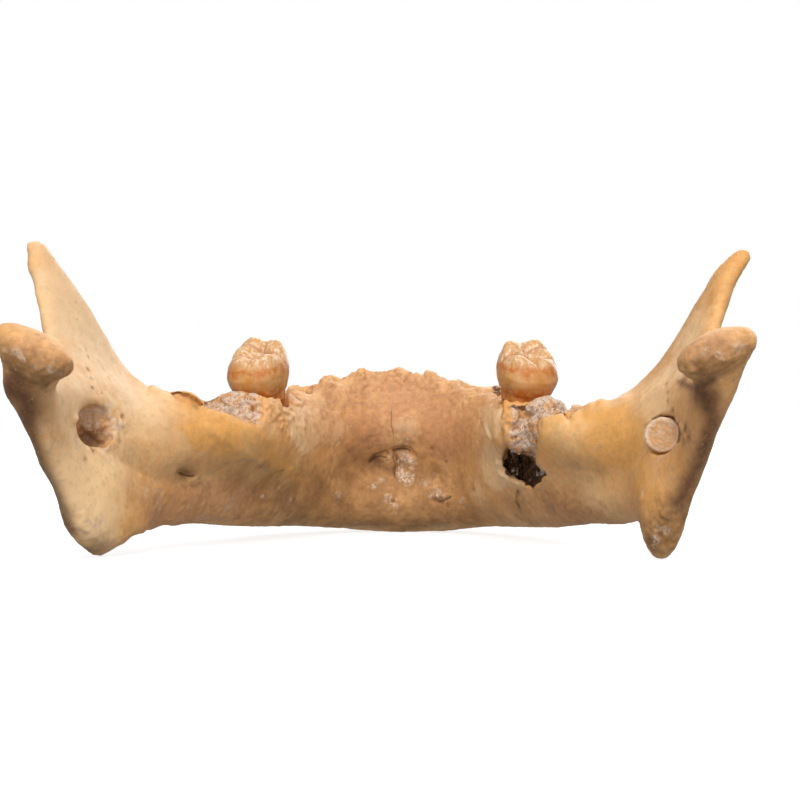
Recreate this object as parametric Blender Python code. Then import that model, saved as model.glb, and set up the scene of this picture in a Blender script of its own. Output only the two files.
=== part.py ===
"""A young person's lower jaw bone, standing on its lower border with two first molars in it.

Frame: +X to the bone's own right, +Y to the chin, +Z up, origin under the middle of the
bounding box. The sizes that drive it are in metres. The tables of form after them are in
millimetres, for the right side, and MM turns them into metres when a mesh is made.
"""

import math

import bmesh
import bpy
import numpy as np
from mathutils import Matrix, Vector

MM = 0.001

# Overall size of the bone, reached by a last small scaling along each axis.
BONE_WIDTH = 0.1112
BONE_LENGTH = 0.0970
BONE_HEIGHT = 0.0490

# First molar: front to back, cheek to tongue, crown height over the neck, roots under it.
MOLAR_LENGTH = 0.0110
MOLAR_WIDTH = 0.0104
MOLAR_CROWN = 0.0082
MOLAR_ROOTS = 0.0105

# Its lean back in degrees, and the points round its crown and round each root.
MOLAR_LEAN = 14.0
CROWN_POINTS = 20
ROOT_POINTS = 12

# Its width as a share of the full width at heights from the neck, and the squareness of a ring.
CROWN_LEVELS = (0.0, 0.12, 0.3, 0.55, 0.78, 0.92)
CROWN_TOP = 0.95
CROWN_BULGE = ((0.0, 0.25, 0.55, 0.8, 0.95), (0.80, 0.94, 1.0, 0.93, 0.78))
CROWN_SQUARENESS = 2.5

# Its cusps: towards the cheek, towards the front, height over the top ring. Between them the
# chewing surface sinks to its floor.
MOLAR_CUSPS = (
    (1.9, 2.4, 1.5), (2.6, -0.6, 0.9), (1.5, -2.9, 0.5), (-1.5, 2.2, 1.4), (-1.9, -2.2, 0.9))
CUSP_FALL = 0.22
CHEWING_FLOOR = -1.3

# Its two roots: place of the middle along the tooth, and how far the tip leans back. Both are
# flattened, and taper from the half widths at the neck.
MESIAL_ROOT = (2.7, 1.6)
DISTAL_ROOT = (-2.5, 1.0)
ROOT_HALF = (3.9, 1.75)
ROOT_LEVELS = (-0.12, 0.1, 0.35, 0.6, 0.82, 1.0)
ROOT_TAPER = 0.62
ROOT_TIP = 0.55
TRUNK = (-1.8, 0.4)
TRUNK_SHARE = (0.97, 0.94)

# The oval filling in the right mandibular foramen.
PLUG_WIDTH = 0.0061
PLUG_HEIGHT = 0.0053
PLUG_THICKNESS = 0.0015
PLUG_EDGE = 0.0003
OVAL_POINTS = 24

# Room left between a piece and the bone round it.
FIT_GAP = 0.00045

# Grain of the voxel skin and the number of triangles kept of it.
VOXEL = 0.0007
BONE_TRIANGLES = 6400

# Sections of the body from the midline of the chin back into the ramus. Each has its place
# in plan, the heading of its outward normal, and an outline of (outward, height) points:
# under the base, tongue side of the base, low, hollow, bulge and alveolar wall, the rim's
# tongue side, middle and cheek side, then down the cheek side to the base.
BODY_SECTIONS = (
    (0.0, 31.0, 90, (
        (0.0, 0.0), (-6.0, 0.6), (-7.4, 4.0), (-5.4, 12.5), (-8.0, 19.5), (-6.6, 25.0),
        (-4.2, 29.8), (-0.8, 30.3), (2.4, 29.2), (3.6, 24.6), (3.0, 17.8), (6.8, 8.0),
        (5.0, 1.4))),
    (9.5, 29.0, 68, (
        (0.3, 0.1), (-5.6, 0.7), (-7.2, 4.0), (-6.2, 12.0), (-8.2, 18.8), (-6.8, 24.4),
        (-4.4, 29.2), (-0.8, 29.6), (2.6, 28.6), (4.0, 24.0), (3.6, 17.2), (6.6, 8.0),
        (5.0, 1.5))),
    (16.2, 22.5, 42, (
        (1.6, 0.9), (-3.4, 1.6), (-5.4, 4.8), (-6.0, 11.0), (-7.4, 17.5), (-6.8, 22.6),
        (-4.6, 27.0), (-0.8, 27.5), (2.8, 26.8), (4.6, 22.5), (5.4, 16.0), (7.0, 8.0),
        (5.6, 2.2))),
    (20.8, 12.0, 25, (
        (3.6, 1.4), (-0.4, 2.0), (-3.2, 4.8), (-5.2, 10.0), (-7.0, 16.5), (-6.6, 21.0),
        (-4.6, 24.8), (-0.8, 25.8), (3.0, 25.2), (5.4, 21.0), (6.8, 14.5), (7.8, 8.0),
        (6.8, 3.0))),
    (24.6, 0.0, 21, (
        (5.0, 2.0), (1.2, 2.6), (-1.6, 6.0), (-3.8, 10.5), (-6.6, 16.0), (-7.0, 20.5),
        (-5.6, 23.9), (-1.2, 24.8), (3.4, 24.6), (6.6, 20.5), (8.2, 14.5), (8.6, 8.0),
        (7.8, 3.4))),
    (30.0, -12.0, 24, (
        (5.0, 3.2), (2.0, 3.7), (-0.6, 7.0), (-2.4, 11.0), (-5.4, 16.0), (-6.0, 20.0),
        (-5.0, 22.8), (-0.6, 23.8), (4.4, 24.0), (7.4, 21.0), (8.4, 14.5), (8.2, 8.5),
        (7.2, 4.4))),
    (36.0, -22.0, 21, (
        (3.6, 3.6), (1.6, 4.2), (-0.2, 7.0), (-1.0, 10.5), (-2.2, 15.0), (-2.0, 19.5),
        (-0.4, 23.0), (2.0, 24.4), (4.2, 23.4), (5.4, 19.5), (6.0, 14.0), (6.0, 9.0),
        (5.2, 4.6))),
    (40.6, -31.5, 20, (
        (2.6, 6.0), (1.8, 6.4), (1.2, 8.0), (0.8, 11.0), (0.6, 14.0), (0.8, 16.5),
        (1.6, 18.4), (2.6, 19.0), (3.6, 18.2), (4.2, 16.0), (4.4, 13.0), (4.4, 9.5),
        (3.8, 6.8))),
)

# Level sections of the ramus and coronoid process from the angle of the jaw to the tip:
# height, front end, back end, thickness at the front and at the back.
RAMUS_SECTIONS = (
    (0.0, (41.9, -35.2), (43.0, -37.6), 1.6, 2.4),
    (1.6, (40.4, -31.0), (43.9, -39.6), 3.6, 4.4),
    (4.5, (38.6, -23.5), (45.0, -41.6), 6.0, 5.6),
    (9.0, (37.4, -18.5), (46.3, -44.2), 6.2, 5.6),
    (14.0, (37.4, -16.0), (47.8, -47.0), 6.0, 5.8),
    (19.0, (37.8, -14.0), (49.2, -49.8), 5.6, 6.2),
    (22.5, (38.2, -12.8), (50.2, -51.6), 4.8, 5.8),
    (25.5, (40.6, -15.0), (50.0, -51.0), 4.4, 5.2),
    (28.6, (43.4, -18.2), (50.2, -44.6), 4.0, 4.4),
    (32.0, (45.4, -20.8), (50.4, -39.6), 3.8, 3.4),
    (36.0, (47.2, -24.0), (51.4, -36.9), 4.2, 3.2),
    (41.0, (49.6, -27.0), (53.0, -35.0), 4.2, 3.0),
    (45.0, (51.8, -28.8), (54.2, -33.8), 4.0, 2.8),
    (48.6, (53.4, -30.2), (55.0, -32.8), 3.0, 2.4),
)
PLATE_SQUARENESS = 3.0

# The condylar neck, from inside the ramus up into the condyle: centre, half width across
# and half depth fore and aft.
NECK_SECTIONS = (
    ((44.6, -40.2, 6.0), 2.0, 2.4),
    ((46.6, -43.6, 12.0), 2.1, 2.8),
    ((48.4, -47.2, 18.0), 2.5, 3.4),
    ((49.6, -50.0, 23.0), 3.0, 3.8),
    ((49.3, -51.9, 26.8), 4.0, 3.6),
    ((48.6, -53.4, 30.0), 5.0, 3.4),
)
CONDYLE_CENTRE = (48.6, -54.4, 30.1)
CONDYLE_RADII = (7.2, 4.3, 3.3)
CONDYLE_AXIS = (0.90, 0.22, 0.37)

# Empty tooth sockets: place, heading, length along the arch, width across it, depth.
SOCKETS = (
    (3.0, 30.6, 86, 4.6, 5.6, 9.0),
    (8.7, 29.0, 68, 4.8, 5.8, 9.0),
    (14.4, 24.6, 48, 6.2, 7.2, 11.0),
    (18.6, 16.9, 32, 5.8, 6.8, 9.0),
    (21.0, 10.1, 24, 5.4, 7.0, 9.0),
)
SOCKET_TAPER = 0.55
SOCKET_OVER = 1.5

# The open crypt of the second molar.
CRYPT = (31.0, -12.8, 26, 11.0, 8.6, 7.5)
CRYPT_TAPER = 0.7
CRYPT_OVER = 3.0

# Height of the rim that carries the teeth, by place from back to front.
RIM = ((-15.0, 0.0, 12.0, 22.0, 30.0), (24.2, 25.0, 26.0, 27.8, 29.6))

# The first molar's neck, and the heading of its cheek side.
MOLAR_NECK = (22.9, -0.8, 25.4)
MOLAR_HEADING = 21

# Raised and hollowed places on both sides: centre, radius, height out of the surface.
RELIEF = (
    ((0.0, 38.0, 6.0), 6.0, 0.9),
    ((9.0, 35.5, 3.0), 3.6, 0.8),
    ((6.0, 34.0, 19.0), 5.0, -0.5),
    ((6.0, 26.0, 1.0), 3.4, -0.8),
    ((24.0, -2.0, 9.0), 5.5, -0.9),
    ((30.0, -14.0, 9.5), 5.5, -1.0),
    ((47.0, -37.5, 6.0), 5.0, 0.7),
    ((41.0, -37.5, 8.0), 4.5, 0.5),
    ((37.6, -28.0, 20.0), 6.0, 0.8),
    ((43.2, -41.0, 19.0), 5.0, -1.3),
    ((49.0, -37.0, 18.0), 5.0, 0.7),
    ((50.0, -49.5, 29.5), 2.4, -0.7),
)

# Ridges and grooves on both sides: points, half width, height, and the side they face.
LINES = (
    (((18.5, 10.0, 15.5), (19.0, -2.0, 17.0), (24.6, -13.5, 18.5), (31.0, -21.0, 19.5)),
     2.0, 0.7, (-0.9, -0.4, 0.2)),
    (((34.0, 2.0, 17.0), (38.5, -8.0, 20.5), (41.0, -15.0, 24.0)), 2.2, 0.9, (0.8, 0.4, 0.3)),
    (((0.0, 37.5, 10.0), (0.0, 34.5, 18.0), (0.0, 34.5, 24.0)), 1.6, 0.5, (0.0, 1.0, 0.0)),
    (((47.5, -30.5, 44.0), (44.5, -22.5, 33.0), (38.5, -19.0, 25.0)), 1.8, 0.6, (-0.9, 0.2, 0.0)),
    (((42.0, -33.5, 17.0), (36.5, -25.0, 12.0), (30.5, -15.0, 10.5)), 1.0, -0.5, (-0.9, -0.4, 0.0)),
)

# Pulls that make the two sides differ: centre, radius, shift.
PULLS = (
    ((53.0, -30.0, 47.0), 7.0, (1.3, 0.0, -1.4)),
    ((48.0, -24.0, 37.0), 9.0, (0.9, 0.0, -0.6)),
    ((51.0, -49.0, 20.0), 8.0, (-1.5, 0.0, 0.0)),
    ((44.0, -38.0, 7.0), 8.0, (-1.6, 0.0, 0.0)),
    ((39.0, -29.0, 2.0), 6.0, (2.6, 0.0, 1.0)),
    ((43.0, -37.0, 0.0), 4.0, (0.0, 0.0, -0.9)),
    ((-43.0, -36.5, 0.0), 4.0, (0.0, 0.0, -0.4)),
    ((-47.0, -25.0, 38.0), 10.0, (0.5, 0.0, 0.0)),
    ((-54.6, -31.6, 48.0), 4.0, (-0.6, 0.0, 0.6)),
    ((-45.0, -40.0, 6.0), 9.0, (-1.1, 0.0, 0.0)),
    ((-51.0, -37.0, 36.5), 6.0, (-1.1, 0.0, 0.0)),
    ((-34.0, -17.0, 24.0), 6.0, (0.0, 0.0, 1.3)),
    ((-55.0, -55.5, 32.5), 5.0, (-0.4, 0.0, 1.2)),
    ((-41.0, -50.0, 27.0), 4.0, (0.0, 0.0, -0.6)),
)

GENIAL_PIT = (0.6, 24.4, 13.0)
GENIAL_RADIUS = 2.2
GENIAL_DEPTH = 1.0

# The mouths of the canals in the two rami open back and inwards. The left one is an empty
# rough hole, the right one holds the filling: place, width, height.
LEFT_FORAMEN = (-43.8, -37.0, 19.6)
LEFT_FORAMEN_SIZE = (0.0074, 0.0066)
RIGHT_FORAMEN = (42.6, -37.4, 18.4)
FORAMEN_FACING = (-0.40, -0.91, 0.10)
FORAMEN_DEPTH = 0.0024
FORAMEN_CLEAR = 0.006

# Broken places in the tongue-side wall, as outlines of (across, height) seen from behind,
# with how deep the wall is lost. The hole goes on into the bone.
RIGHT_BREAK = (
    (19.3, 10.6), (18.9, 16.0), (19.2, 23.6), (20.0, 28.0), (31.6, 28.0), (31.0, 22.6),
    (28.0, 21.9), (24.9, 21.3), (24.4, 14.0), (23.6, 10.2))
LEFT_BREAK = (
    (-20.8, 20.1), (-24.2, 20.6), (-26.0, 21.6), (-28.4, 22.6), (-30.0, 24.2), (-30.0, 28.0),
    (-20.8, 28.0))
BREAK_DEPTH = 1.2
BREAK_FRONT = 6.0
RIGHT_HOLE = (
    (18.4, 13.6), (19.2, 16.2), (21.4, 15.8), (23.6, 15.8), (23.7, 13.4), (25.5, 12.0),
    (24.4, 10.8), (23.0, 9.5), (20.0, 10.8))
HOLE_FROM = -22.0
HOLE_TO = 7.4
HOLE_SLOPE = -2.0
HOLE_OUT = 0.6

# The lowest layer that is made flat, to stand on, and the angle past which an edge is crisp.
REST_FLAT = 0.0006
SHARP_ANGLE = 50.0


def clear_scene():
    for old in list(bpy.data.objects):
        bpy.data.objects.remove(old, do_unlink=True)


def material(name, colour, roughness):
    """A Principled material in linear colour."""
    made = bpy.data.materials.new(name)
    made.use_nodes = True
    shader = made.node_tree.nodes["Principled BSDF"]
    shader.inputs["Base Color"].default_value = (*colour, 1.0)
    shader.inputs["Roughness"].default_value = roughness
    shader.inputs["Metallic"].default_value = 0.0
    return made


def linked_object(name, data):
    obj = bpy.data.objects.new(name, data)
    bpy.context.scene.collection.objects.link(obj)
    return obj


def new_object(name, points, faces):
    """An object from points in millimetres."""
    data = bpy.data.meshes.new(name)
    data.from_pydata([Vector(point) * MM for point in points], [], faces)
    data.update()
    return linked_object(name, data)


def mesh_object(name, mesh):
    """An object that takes over a bmesh."""
    data = bpy.data.meshes.new(name)
    mesh.to_mesh(data)
    mesh.free()
    return linked_object(name, data)


def helper(obj):
    """Marks an object that only shapes others."""
    obj.hide_render = True
    obj.display_type = "WIRE"
    return obj


def apply_modifiers(obj):
    graph = bpy.context.evaluated_depsgraph_get()
    shaped = bpy.data.meshes.new_from_object(obj.evaluated_get(graph))
    obj.modifiers.clear()
    obj.data = shaped


def boolean(obj, other, operation):
    """Joins or cuts with the exact solver, and takes the other object away."""
    step = obj.modifiers.new(operation.title(), "BOOLEAN")
    step.operation = operation
    step.solver = "EXACT"
    step.use_self = True
    step.object = other
    apply_modifiers(obj)
    bpy.data.objects.remove(other, do_unlink=True)


def facing_out(obj):
    mesh = bmesh.new()
    mesh.from_mesh(obj.data)
    bmesh.ops.recalc_face_normals(mesh, faces=mesh.faces)
    mesh.to_mesh(obj.data)
    mesh.free()


def joined(name, pieces):
    """One object that holds the closed meshes of several, which may overlap."""
    mesh = bmesh.new()
    for piece in pieces:
        piece.data.transform(piece.matrix_world)
        mesh.from_mesh(piece.data)
        bpy.data.objects.remove(piece, do_unlink=True)
    return mesh_object(name, mesh)


def spline(rows, steps, closed):
    """A Catmull-Rom curve through rows of numbers, with steps points for each span."""
    rows = np.asarray(rows, float)
    count = len(rows)
    spans = count if closed else count - 1
    out = []
    for span in range(spans):
        if closed:
            before, start, end, after = (rows[(span + k) % count] for k in (-1, 0, 1, 2))
        else:
            start, end = rows[span], rows[span + 1]
            before = rows[span - 1] if span > 0 else 2 * start - end
            after = rows[span + 2] if span + 2 < count else 2 * end - start
        for step in range(steps):
            t = step / steps
            out.append(0.5 * (
                2 * start + (end - before) * t
                + (2 * before - 5 * start + 4 * end - after) * t ** 2
                + (3 * start - before - 3 * end + after) * t ** 3))
    if not closed:
        out.append(rows[-1])
    return np.array(out)


def loft(name, rings):
    """A closed skin over rings with the same number of points."""
    count = len(rings[0])
    points = [tuple(point) for ring in rings for point in ring]
    faces = []
    for low in range(len(rings) - 1):
        for i in range(count):
            j = (i + 1) % count
            faces.append((
                low * count + i, low * count + j,
                (low + 1) * count + j, (low + 1) * count + i))
    last = (len(rings) - 1) * count
    faces.append(tuple(reversed(range(count))))
    faces.append(tuple(range(last, last + count)))
    obj = new_object(name, points, faces)
    facing_out(obj)
    return obj


def body_loft():
    """The arch of the body, from inside one ramus round the chin into the other."""
    right = [
        np.concatenate([[x, y, math.radians(heading)], np.ravel(outline)])
        for x, y, heading, outline in BODY_SECTIONS]
    left = []
    for row in reversed(right[1:]):
        other = row.copy()
        other[0] = -row[0]
        other[2] = math.pi - row[2]
        left.append(other)
    rings = []
    for row in spline(left + right, 4, closed=False):
        outline = spline(row[3:].reshape(-1, 2), 3, closed=True)
        outward = np.array([math.cos(row[2]), math.sin(row[2])])
        plan = row[:2] + outline[:, :1] * outward
        rings.append(np.column_stack([plan, outline[:, 1]]))
    return loft("body", rings)


def plate_ring(height, front, back, front_thick, back_thick, points=32):
    """A level oblong with round ends, between two ends in plan."""
    front = np.array(front)
    back = np.array(back)
    middle = (front + back) / 2
    along = (back - front) / 2
    half = np.linalg.norm(along)
    across = np.array([-along[1], along[0]]) / half
    ring = []
    for i in range(points):
        angle = 2 * math.pi * i / points
        c = math.cos(angle)
        s = math.sin(angle)
        u = math.copysign(abs(c) ** (2 / PLATE_SQUARENESS), c)
        v = math.copysign(abs(s) ** (2 / PLATE_SQUARENESS), s)
        thick = front_thick + (back_thick - front_thick) * (u + 1) / 2
        place = middle + along * u + across * v * thick / 2
        ring.append((place[0], place[1], height))
    return ring


def ramus_loft():
    rows = [(z, *front, *back, a, b) for z, front, back, a, b in RAMUS_SECTIONS]
    rings = [
        plate_ring(row[0], row[1:3], row[3:5], row[5], row[6])
        for row in spline(rows, 3, closed=False)]
    return loft("ramus", rings)


def neck_loft(points=20):
    rows = [(*centre, across, deep) for centre, across, deep in NECK_SECTIONS]
    rings = []
    for x, y, z, across, deep in spline(rows, 3, closed=False):
        angles = [2 * math.pi * i / points for i in range(points)]
        rings.append([(x + across * math.cos(a), y + deep * math.sin(a), z) for a in angles])
    return loft("neck", rings)


def turned_to(axis, up=(0.0, 0.0, 1.0)):
    """A rotation whose X is the axis and whose Z is near up."""
    x = Vector(axis).normalized()
    y = Vector(up).cross(x).normalized()
    z = x.cross(y)
    return Matrix((x, y, z)).transposed().to_4x4()


def ball(name, centre, radii, axis):
    """A rounded lump: a sphere with three radii along an axis."""
    mesh = bmesh.new()
    bmesh.ops.create_icosphere(mesh, subdivisions=4, radius=MM)
    size = Matrix.Diagonal((*radii, 1.0))
    place = Matrix.Translation(Vector(centre) * MM) @ turned_to(axis) @ size
    bmesh.ops.transform(mesh, matrix=place, verts=mesh.verts)
    return mesh_object(name, mesh)


def mirrored(obj):
    """A copy on the other side of the midline."""
    data = obj.data.copy()
    data.transform(Matrix.Diagonal((-1.0, 1.0, 1.0, 1.0)))
    data.flip_normals()
    return linked_object(obj.name + "_left", data)


def rim_height(y):
    """Height of the tooth-bearing rim at a place along the arch."""
    return float(np.interp(y, *RIM))


def tapered_pit(pit, over, taper):
    """A cutter for a socket, with its mouth a little over the rim and a narrower floor."""
    x, y, heading, length, width, depth = pit
    depth += over
    top = rim_height(y) + over
    mesh = bmesh.new()
    bmesh.ops.create_cone(
        mesh, cap_ends=True, segments=16, radius1=taper * MM, radius2=MM, depth=depth * MM)
    size = Matrix.Diagonal((width / 2, length / 2, 1.0, 1.0))
    turn = Matrix.Rotation(math.radians(heading), 4, "Z")
    place = Matrix.Translation(Vector((x, y, top - depth / 2)) * MM)
    bmesh.ops.transform(mesh, matrix=place @ turn @ size, verts=mesh.verts)
    return mesh_object("pit", mesh)


def socket_cutters():
    pits = [tapered_pit(pit, SOCKET_OVER, SOCKET_TAPER) for pit in SOCKETS]
    pits.append(tapered_pit(CRYPT, CRYPT_OVER, CRYPT_TAPER))
    return helper(joined("sockets", [*pits, *[mirrored(pit) for pit in pits]]))


def oval_disc(centre, width, height, thick, inset):
    """A flat oval in the mouth of a foramen, its face inset from the centre."""
    side = math.copysign(1.0, centre[0])
    facing = (FORAMEN_FACING[0] * side, FORAMEN_FACING[1], FORAMEN_FACING[2])
    mesh = bmesh.new()
    bmesh.ops.create_cone(
        mesh, cap_ends=True, segments=OVAL_POINTS, radius1=0.5, radius2=0.5, depth=thick)
    size = Matrix.Diagonal((height, width, 1.0, 1.0))
    turn = turned_to(facing) @ Matrix.Rotation(math.radians(90.0), 4, "Y")
    middle = Vector(centre) * MM - Vector(facing).normalized() * (inset + thick / 2)
    bmesh.ops.transform(mesh, matrix=Matrix.Translation(middle) @ turn @ size, verts=mesh.verts)
    return mesh


def foramen_pit(centre, width, height, depth):
    """A cutter that comes from well outside the bone to a depth under the mouth."""
    mesh = oval_disc(centre, width, height, FORAMEN_CLEAR + depth, -FORAMEN_CLEAR)
    return helper(mesh_object("foramen", mesh))


def hole_cutter():
    """A prism along the outline of the hole, whose far end slants with the wall."""
    mouth = [(x, HOLE_FROM, z) for x, z in RIGHT_HOLE]
    start = RIGHT_HOLE[0][0]
    floor = [(x + HOLE_OUT, HOLE_TO + HOLE_SLOPE * (x - start), z) for x, z in RIGHT_HOLE]
    return helper(loft("hole", [mouth, floor]))


def inside(x, z, outline):
    """Which points lie inside an outline, by counting the edges to one side of each."""
    within = np.zeros(len(x), bool)
    for i, (x1, z1) in enumerate(outline):
        x2, z2 = outline[i - 1]
        crosses = (z1 > z) != (z2 > z)
        reach = x1 + (z - z1) * (x2 - x1) / ((z2 - z1) or 1.0)
        within ^= crosses & (x < reach)
    return within


def surface_arrays(mesh):
    """Points and normals of a mesh in millimetres."""
    points = np.empty(len(mesh.vertices) * 3)
    normals = np.empty(len(mesh.vertices) * 3)
    mesh.vertices.foreach_get("co", points)
    mesh.vertices.foreach_get("normal", normals)
    return points.reshape(-1, 3) / MM, normals.reshape(-1, 3)


def store_points(mesh, points):
    mesh.vertices.foreach_set("co", (points * MM).ravel())
    mesh.update()


def distance_to_line(points, line):
    """The shortest distance from each point to a line of straight pieces."""
    nearest = np.full(len(points), np.inf)
    for start, end in zip(line[:-1], line[1:]):
        start = np.array(start)
        along = np.array(end) - start
        t = np.clip((points - start) @ along / (along @ along), 0.0, 1.0)
        gap = np.linalg.norm(points - start - t[:, None] * along, axis=1)
        nearest = np.minimum(nearest, gap)
    return nearest


def carve(obj):
    """Moves points out or in for the fossae, eminences and ridges, then pulls the sides."""
    points, normals = surface_arrays(obj.data)
    height = np.zeros(len(points))
    for side in (1.0, -1.0):
        flip = np.array([side, 1.0, 1.0])
        for centre, radius, amount in RELIEF:
            if centre[0] == 0.0 and side < 0.0:
                continue
            gap = np.linalg.norm(points - np.array(centre) * flip, axis=1)
            height += amount * np.exp(-(gap / radius) ** 2)
        for line, width, amount, facing in LINES:
            if line[0][0] == 0.0 and side < 0.0:
                continue
            gap = distance_to_line(points, [np.array(place) * flip for place in line])
            toward = np.clip(normals @ (np.array(facing) * flip), 0.0, 1.0)
            height += amount * toward * np.exp(-(gap / width) ** 2)
    gap = np.linalg.norm(points - np.array(GENIAL_PIT), axis=1)
    height -= GENIAL_DEPTH * np.exp(-(gap / GENIAL_RADIUS) ** 2)
    points += normals * height[:, None]
    for centre, radius, shift in PULLS:
        gap = np.linalg.norm(points - np.array(centre), axis=1)
        points += np.exp(-(gap / radius) ** 2)[:, None] * np.array(shift)
    store_points(obj.data, points)


def break_walls(obj):
    """Sinks the tongue-side wall where its outer layer is lost."""
    points, normals = surface_arrays(obj.data)
    for outline, side in ((RIGHT_BREAK, 1.0), (LEFT_BREAK, -1.0)):
        faces_tongue = normals @ np.array([-side, -0.4, 0.0]) > 0.15
        behind = points[:, 1] < BREAK_FRONT
        lost = inside(points[:, 0], points[:, 2], outline) & faces_tongue & behind
        points[lost] -= normals[lost] * BREAK_DEPTH
    store_points(obj.data, points)


def remesh(obj, rounds):
    """One even skin over all the overlapping forms, with their seams rounded off."""
    skin = obj.modifiers.new("Skin", "REMESH")
    skin.mode = "VOXEL"
    skin.voxel_size = VOXEL
    skin.use_smooth_shade = True
    rounding = obj.modifiers.new("Rounding", "SMOOTH")
    rounding.factor = 0.5
    rounding.iterations = rounds
    apply_modifiers(obj)


def fit_to_size(obj):
    """Scales the bone to its stated size and puts its origin under the middle of its box."""
    points = np.array([vertex.co for vertex in obj.data.vertices])
    low = points.min(axis=0)
    high = points.max(axis=0)
    size = np.array([BONE_WIDTH, BONE_LENGTH, BONE_HEIGHT])
    scale = size / (high - low)
    middle = (low + high) / 2
    base = Vector((-middle[0], -middle[1], -low[2]))
    return Matrix.Diagonal((*scale, 1.0)) @ Matrix.Translation(base)


def thin_out(obj):
    """Keeps the triangles that the form needs, and closes what is left."""
    thinner = obj.modifiers.new("Thin", "DECIMATE")
    triangles = sum(len(face.vertices) - 2 for face in obj.data.polygons)
    thinner.ratio = BONE_TRIANGLES / triangles
    thinner.use_collapse_triangulate = True
    apply_modifiers(obj)


def flatten_rest(obj):
    """Turns the lowest few tenths of a millimetre into flat patches, which it stands on."""
    for vertex in obj.data.vertices:
        if vertex.co.z < REST_FLAT:
            vertex.co.z = 0.0
    obj.data.update()


def molar_crown_ring(level):
    """A level ring of the crown, by height from the neck as a share of the crown's height."""
    share = np.interp(level, *CROWN_BULGE) / MM / 2
    ring = []
    for i in range(CROWN_POINTS):
        angle = 2 * math.pi * i / CROWN_POINTS
        c = math.cos(angle)
        s = math.sin(angle)
        x = math.copysign(abs(c) ** (2 / CROWN_SQUARENESS), c) * share * MOLAR_WIDTH
        y = math.copysign(abs(s) ** (2 / CROWN_SQUARENESS), s) * share * MOLAR_LENGTH
        ring.append((x, y, level * MOLAR_CROWN / MM))
    return ring


def cusp_height(x, y):
    """Height of the chewing surface over the crown's top ring: five rounded cusps."""
    height = CHEWING_FLOOR
    for across, along, amount in MOLAR_CUSPS:
        gap = math.hypot(x - across, y - along)
        height = max(height, amount - CUSP_FALL * gap ** 1.7)
    return height


def molar_crown():
    """The crown, from the neck over its bulge to the cusped top."""
    rings = [molar_crown_ring(level) for level in CROWN_LEVELS]
    top = np.array(molar_crown_ring(CROWN_TOP))
    for shrink in (1.0, 0.75, 0.5, 0.25):
        inner = top * (shrink, shrink, 1.0)
        inner[:, 2] += [cusp_height(x, y) for x, y, _ in inner]
        rings.append(inner)
    return loft("crown", rings)


def molar_root(name, start, lean, grow):
    """A flattened cone under the neck, leaning back, grown outwards for its own socket."""
    length = MOLAR_ROOTS / MM + grow
    angles = [2 * math.pi * i / ROOT_POINTS for i in range(ROOT_POINTS)]
    rings = []
    for share in ROOT_LEVELS:
        below = max(share, 0.0)
        narrow = 1.0 - ROOT_TAPER * below ** 1.4
        if share == ROOT_LEVELS[-1]:
            narrow *= ROOT_TIP
        across, along = (half * narrow + grow for half in ROOT_HALF)
        middle = start - lean * below ** 1.5
        rings.append([
            (across * math.cos(a), middle + along * math.sin(a), -share * length)
            for a in angles])
    return loft(name, rings)


def molar_roots(grow):
    """The front and back roots, and the trunk that joins them under the neck."""
    roots = molar_root("mesial_root", *MESIAL_ROOT, grow)
    boolean(roots, molar_root("distal_root", *DISTAL_ROOT, grow), "UNION")
    neck = np.array(molar_crown_ring(0.0)) * (*TRUNK_SHARE, 0.0)
    out = neck / np.linalg.norm(neck, axis=1)[:, None]
    low, high = TRUNK
    trunk = loft("trunk", [neck + out * grow + (0.0, 0.0, z) for z in (low - grow, high)])
    boolean(roots, trunk, "UNION")
    return roots


def molar_place(side):
    """Where the tooth's own frame sits: +X to the cheek, +Y to the front, +Z up its axis."""
    neck = Vector(MOLAR_NECK) * MM
    turn = Matrix.Rotation(math.radians(MOLAR_HEADING), 4, "Z")
    lean = Matrix.Rotation(math.radians(MOLAR_LEAN), 4, "X")
    place = Matrix.Translation(neck) @ turn @ lean
    return Matrix.Diagonal((side, 1.0, 1.0, 1.0)) @ place


def molar(name, side, enamel):
    crown = molar_crown()
    boolean(crown, molar_roots(0.0), "UNION")
    crown.data.transform(molar_place(side))
    if side < 0.0:
        crown.data.flip_normals()
    crown.name = name
    crown.data.materials.clear()
    crown.data.materials.append(enamel)
    return crown


def molar_socket(side):
    """The room that the roots take in the bone."""
    room = molar_roots(FIT_GAP / MM)
    room.data.transform(molar_place(side))
    if side < 0.0:
        room.data.flip_normals()
    return helper(room)


def foramen_plug(filling):
    """The oval filling, with the edges of its two faces taken off."""
    mesh = oval_disc(RIGHT_FORAMEN, PLUG_WIDTH, PLUG_HEIGHT, PLUG_THICKNESS, 0.0)
    rims = [edge for edge in mesh.edges if any(len(face.verts) > 4 for face in edge.link_faces)]
    bmesh.ops.bevel(mesh, geom=rims, offset=PLUG_EDGE, segments=1, affect="EDGES")
    plug = mesh_object("foramen_plug", mesh)
    plug.data.materials.append(filling)
    return plug


def mandible(bone):
    halves = [
        ramus_loft(),
        neck_loft(),
        ball("condyle", CONDYLE_CENTRE, CONDYLE_RADII, CONDYLE_AXIS),
    ]
    jaw = joined("mandible", [body_loft(), *halves, *[mirrored(piece) for piece in halves]])
    remesh(jaw, 24)
    carve(jaw)
    boolean(jaw, socket_cutters(), "DIFFERENCE")
    remesh(jaw, 5)
    break_walls(jaw)
    thin_out(jaw)
    jaw.data.materials.clear()
    jaw.data.materials.append(bone)
    return jaw


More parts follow.
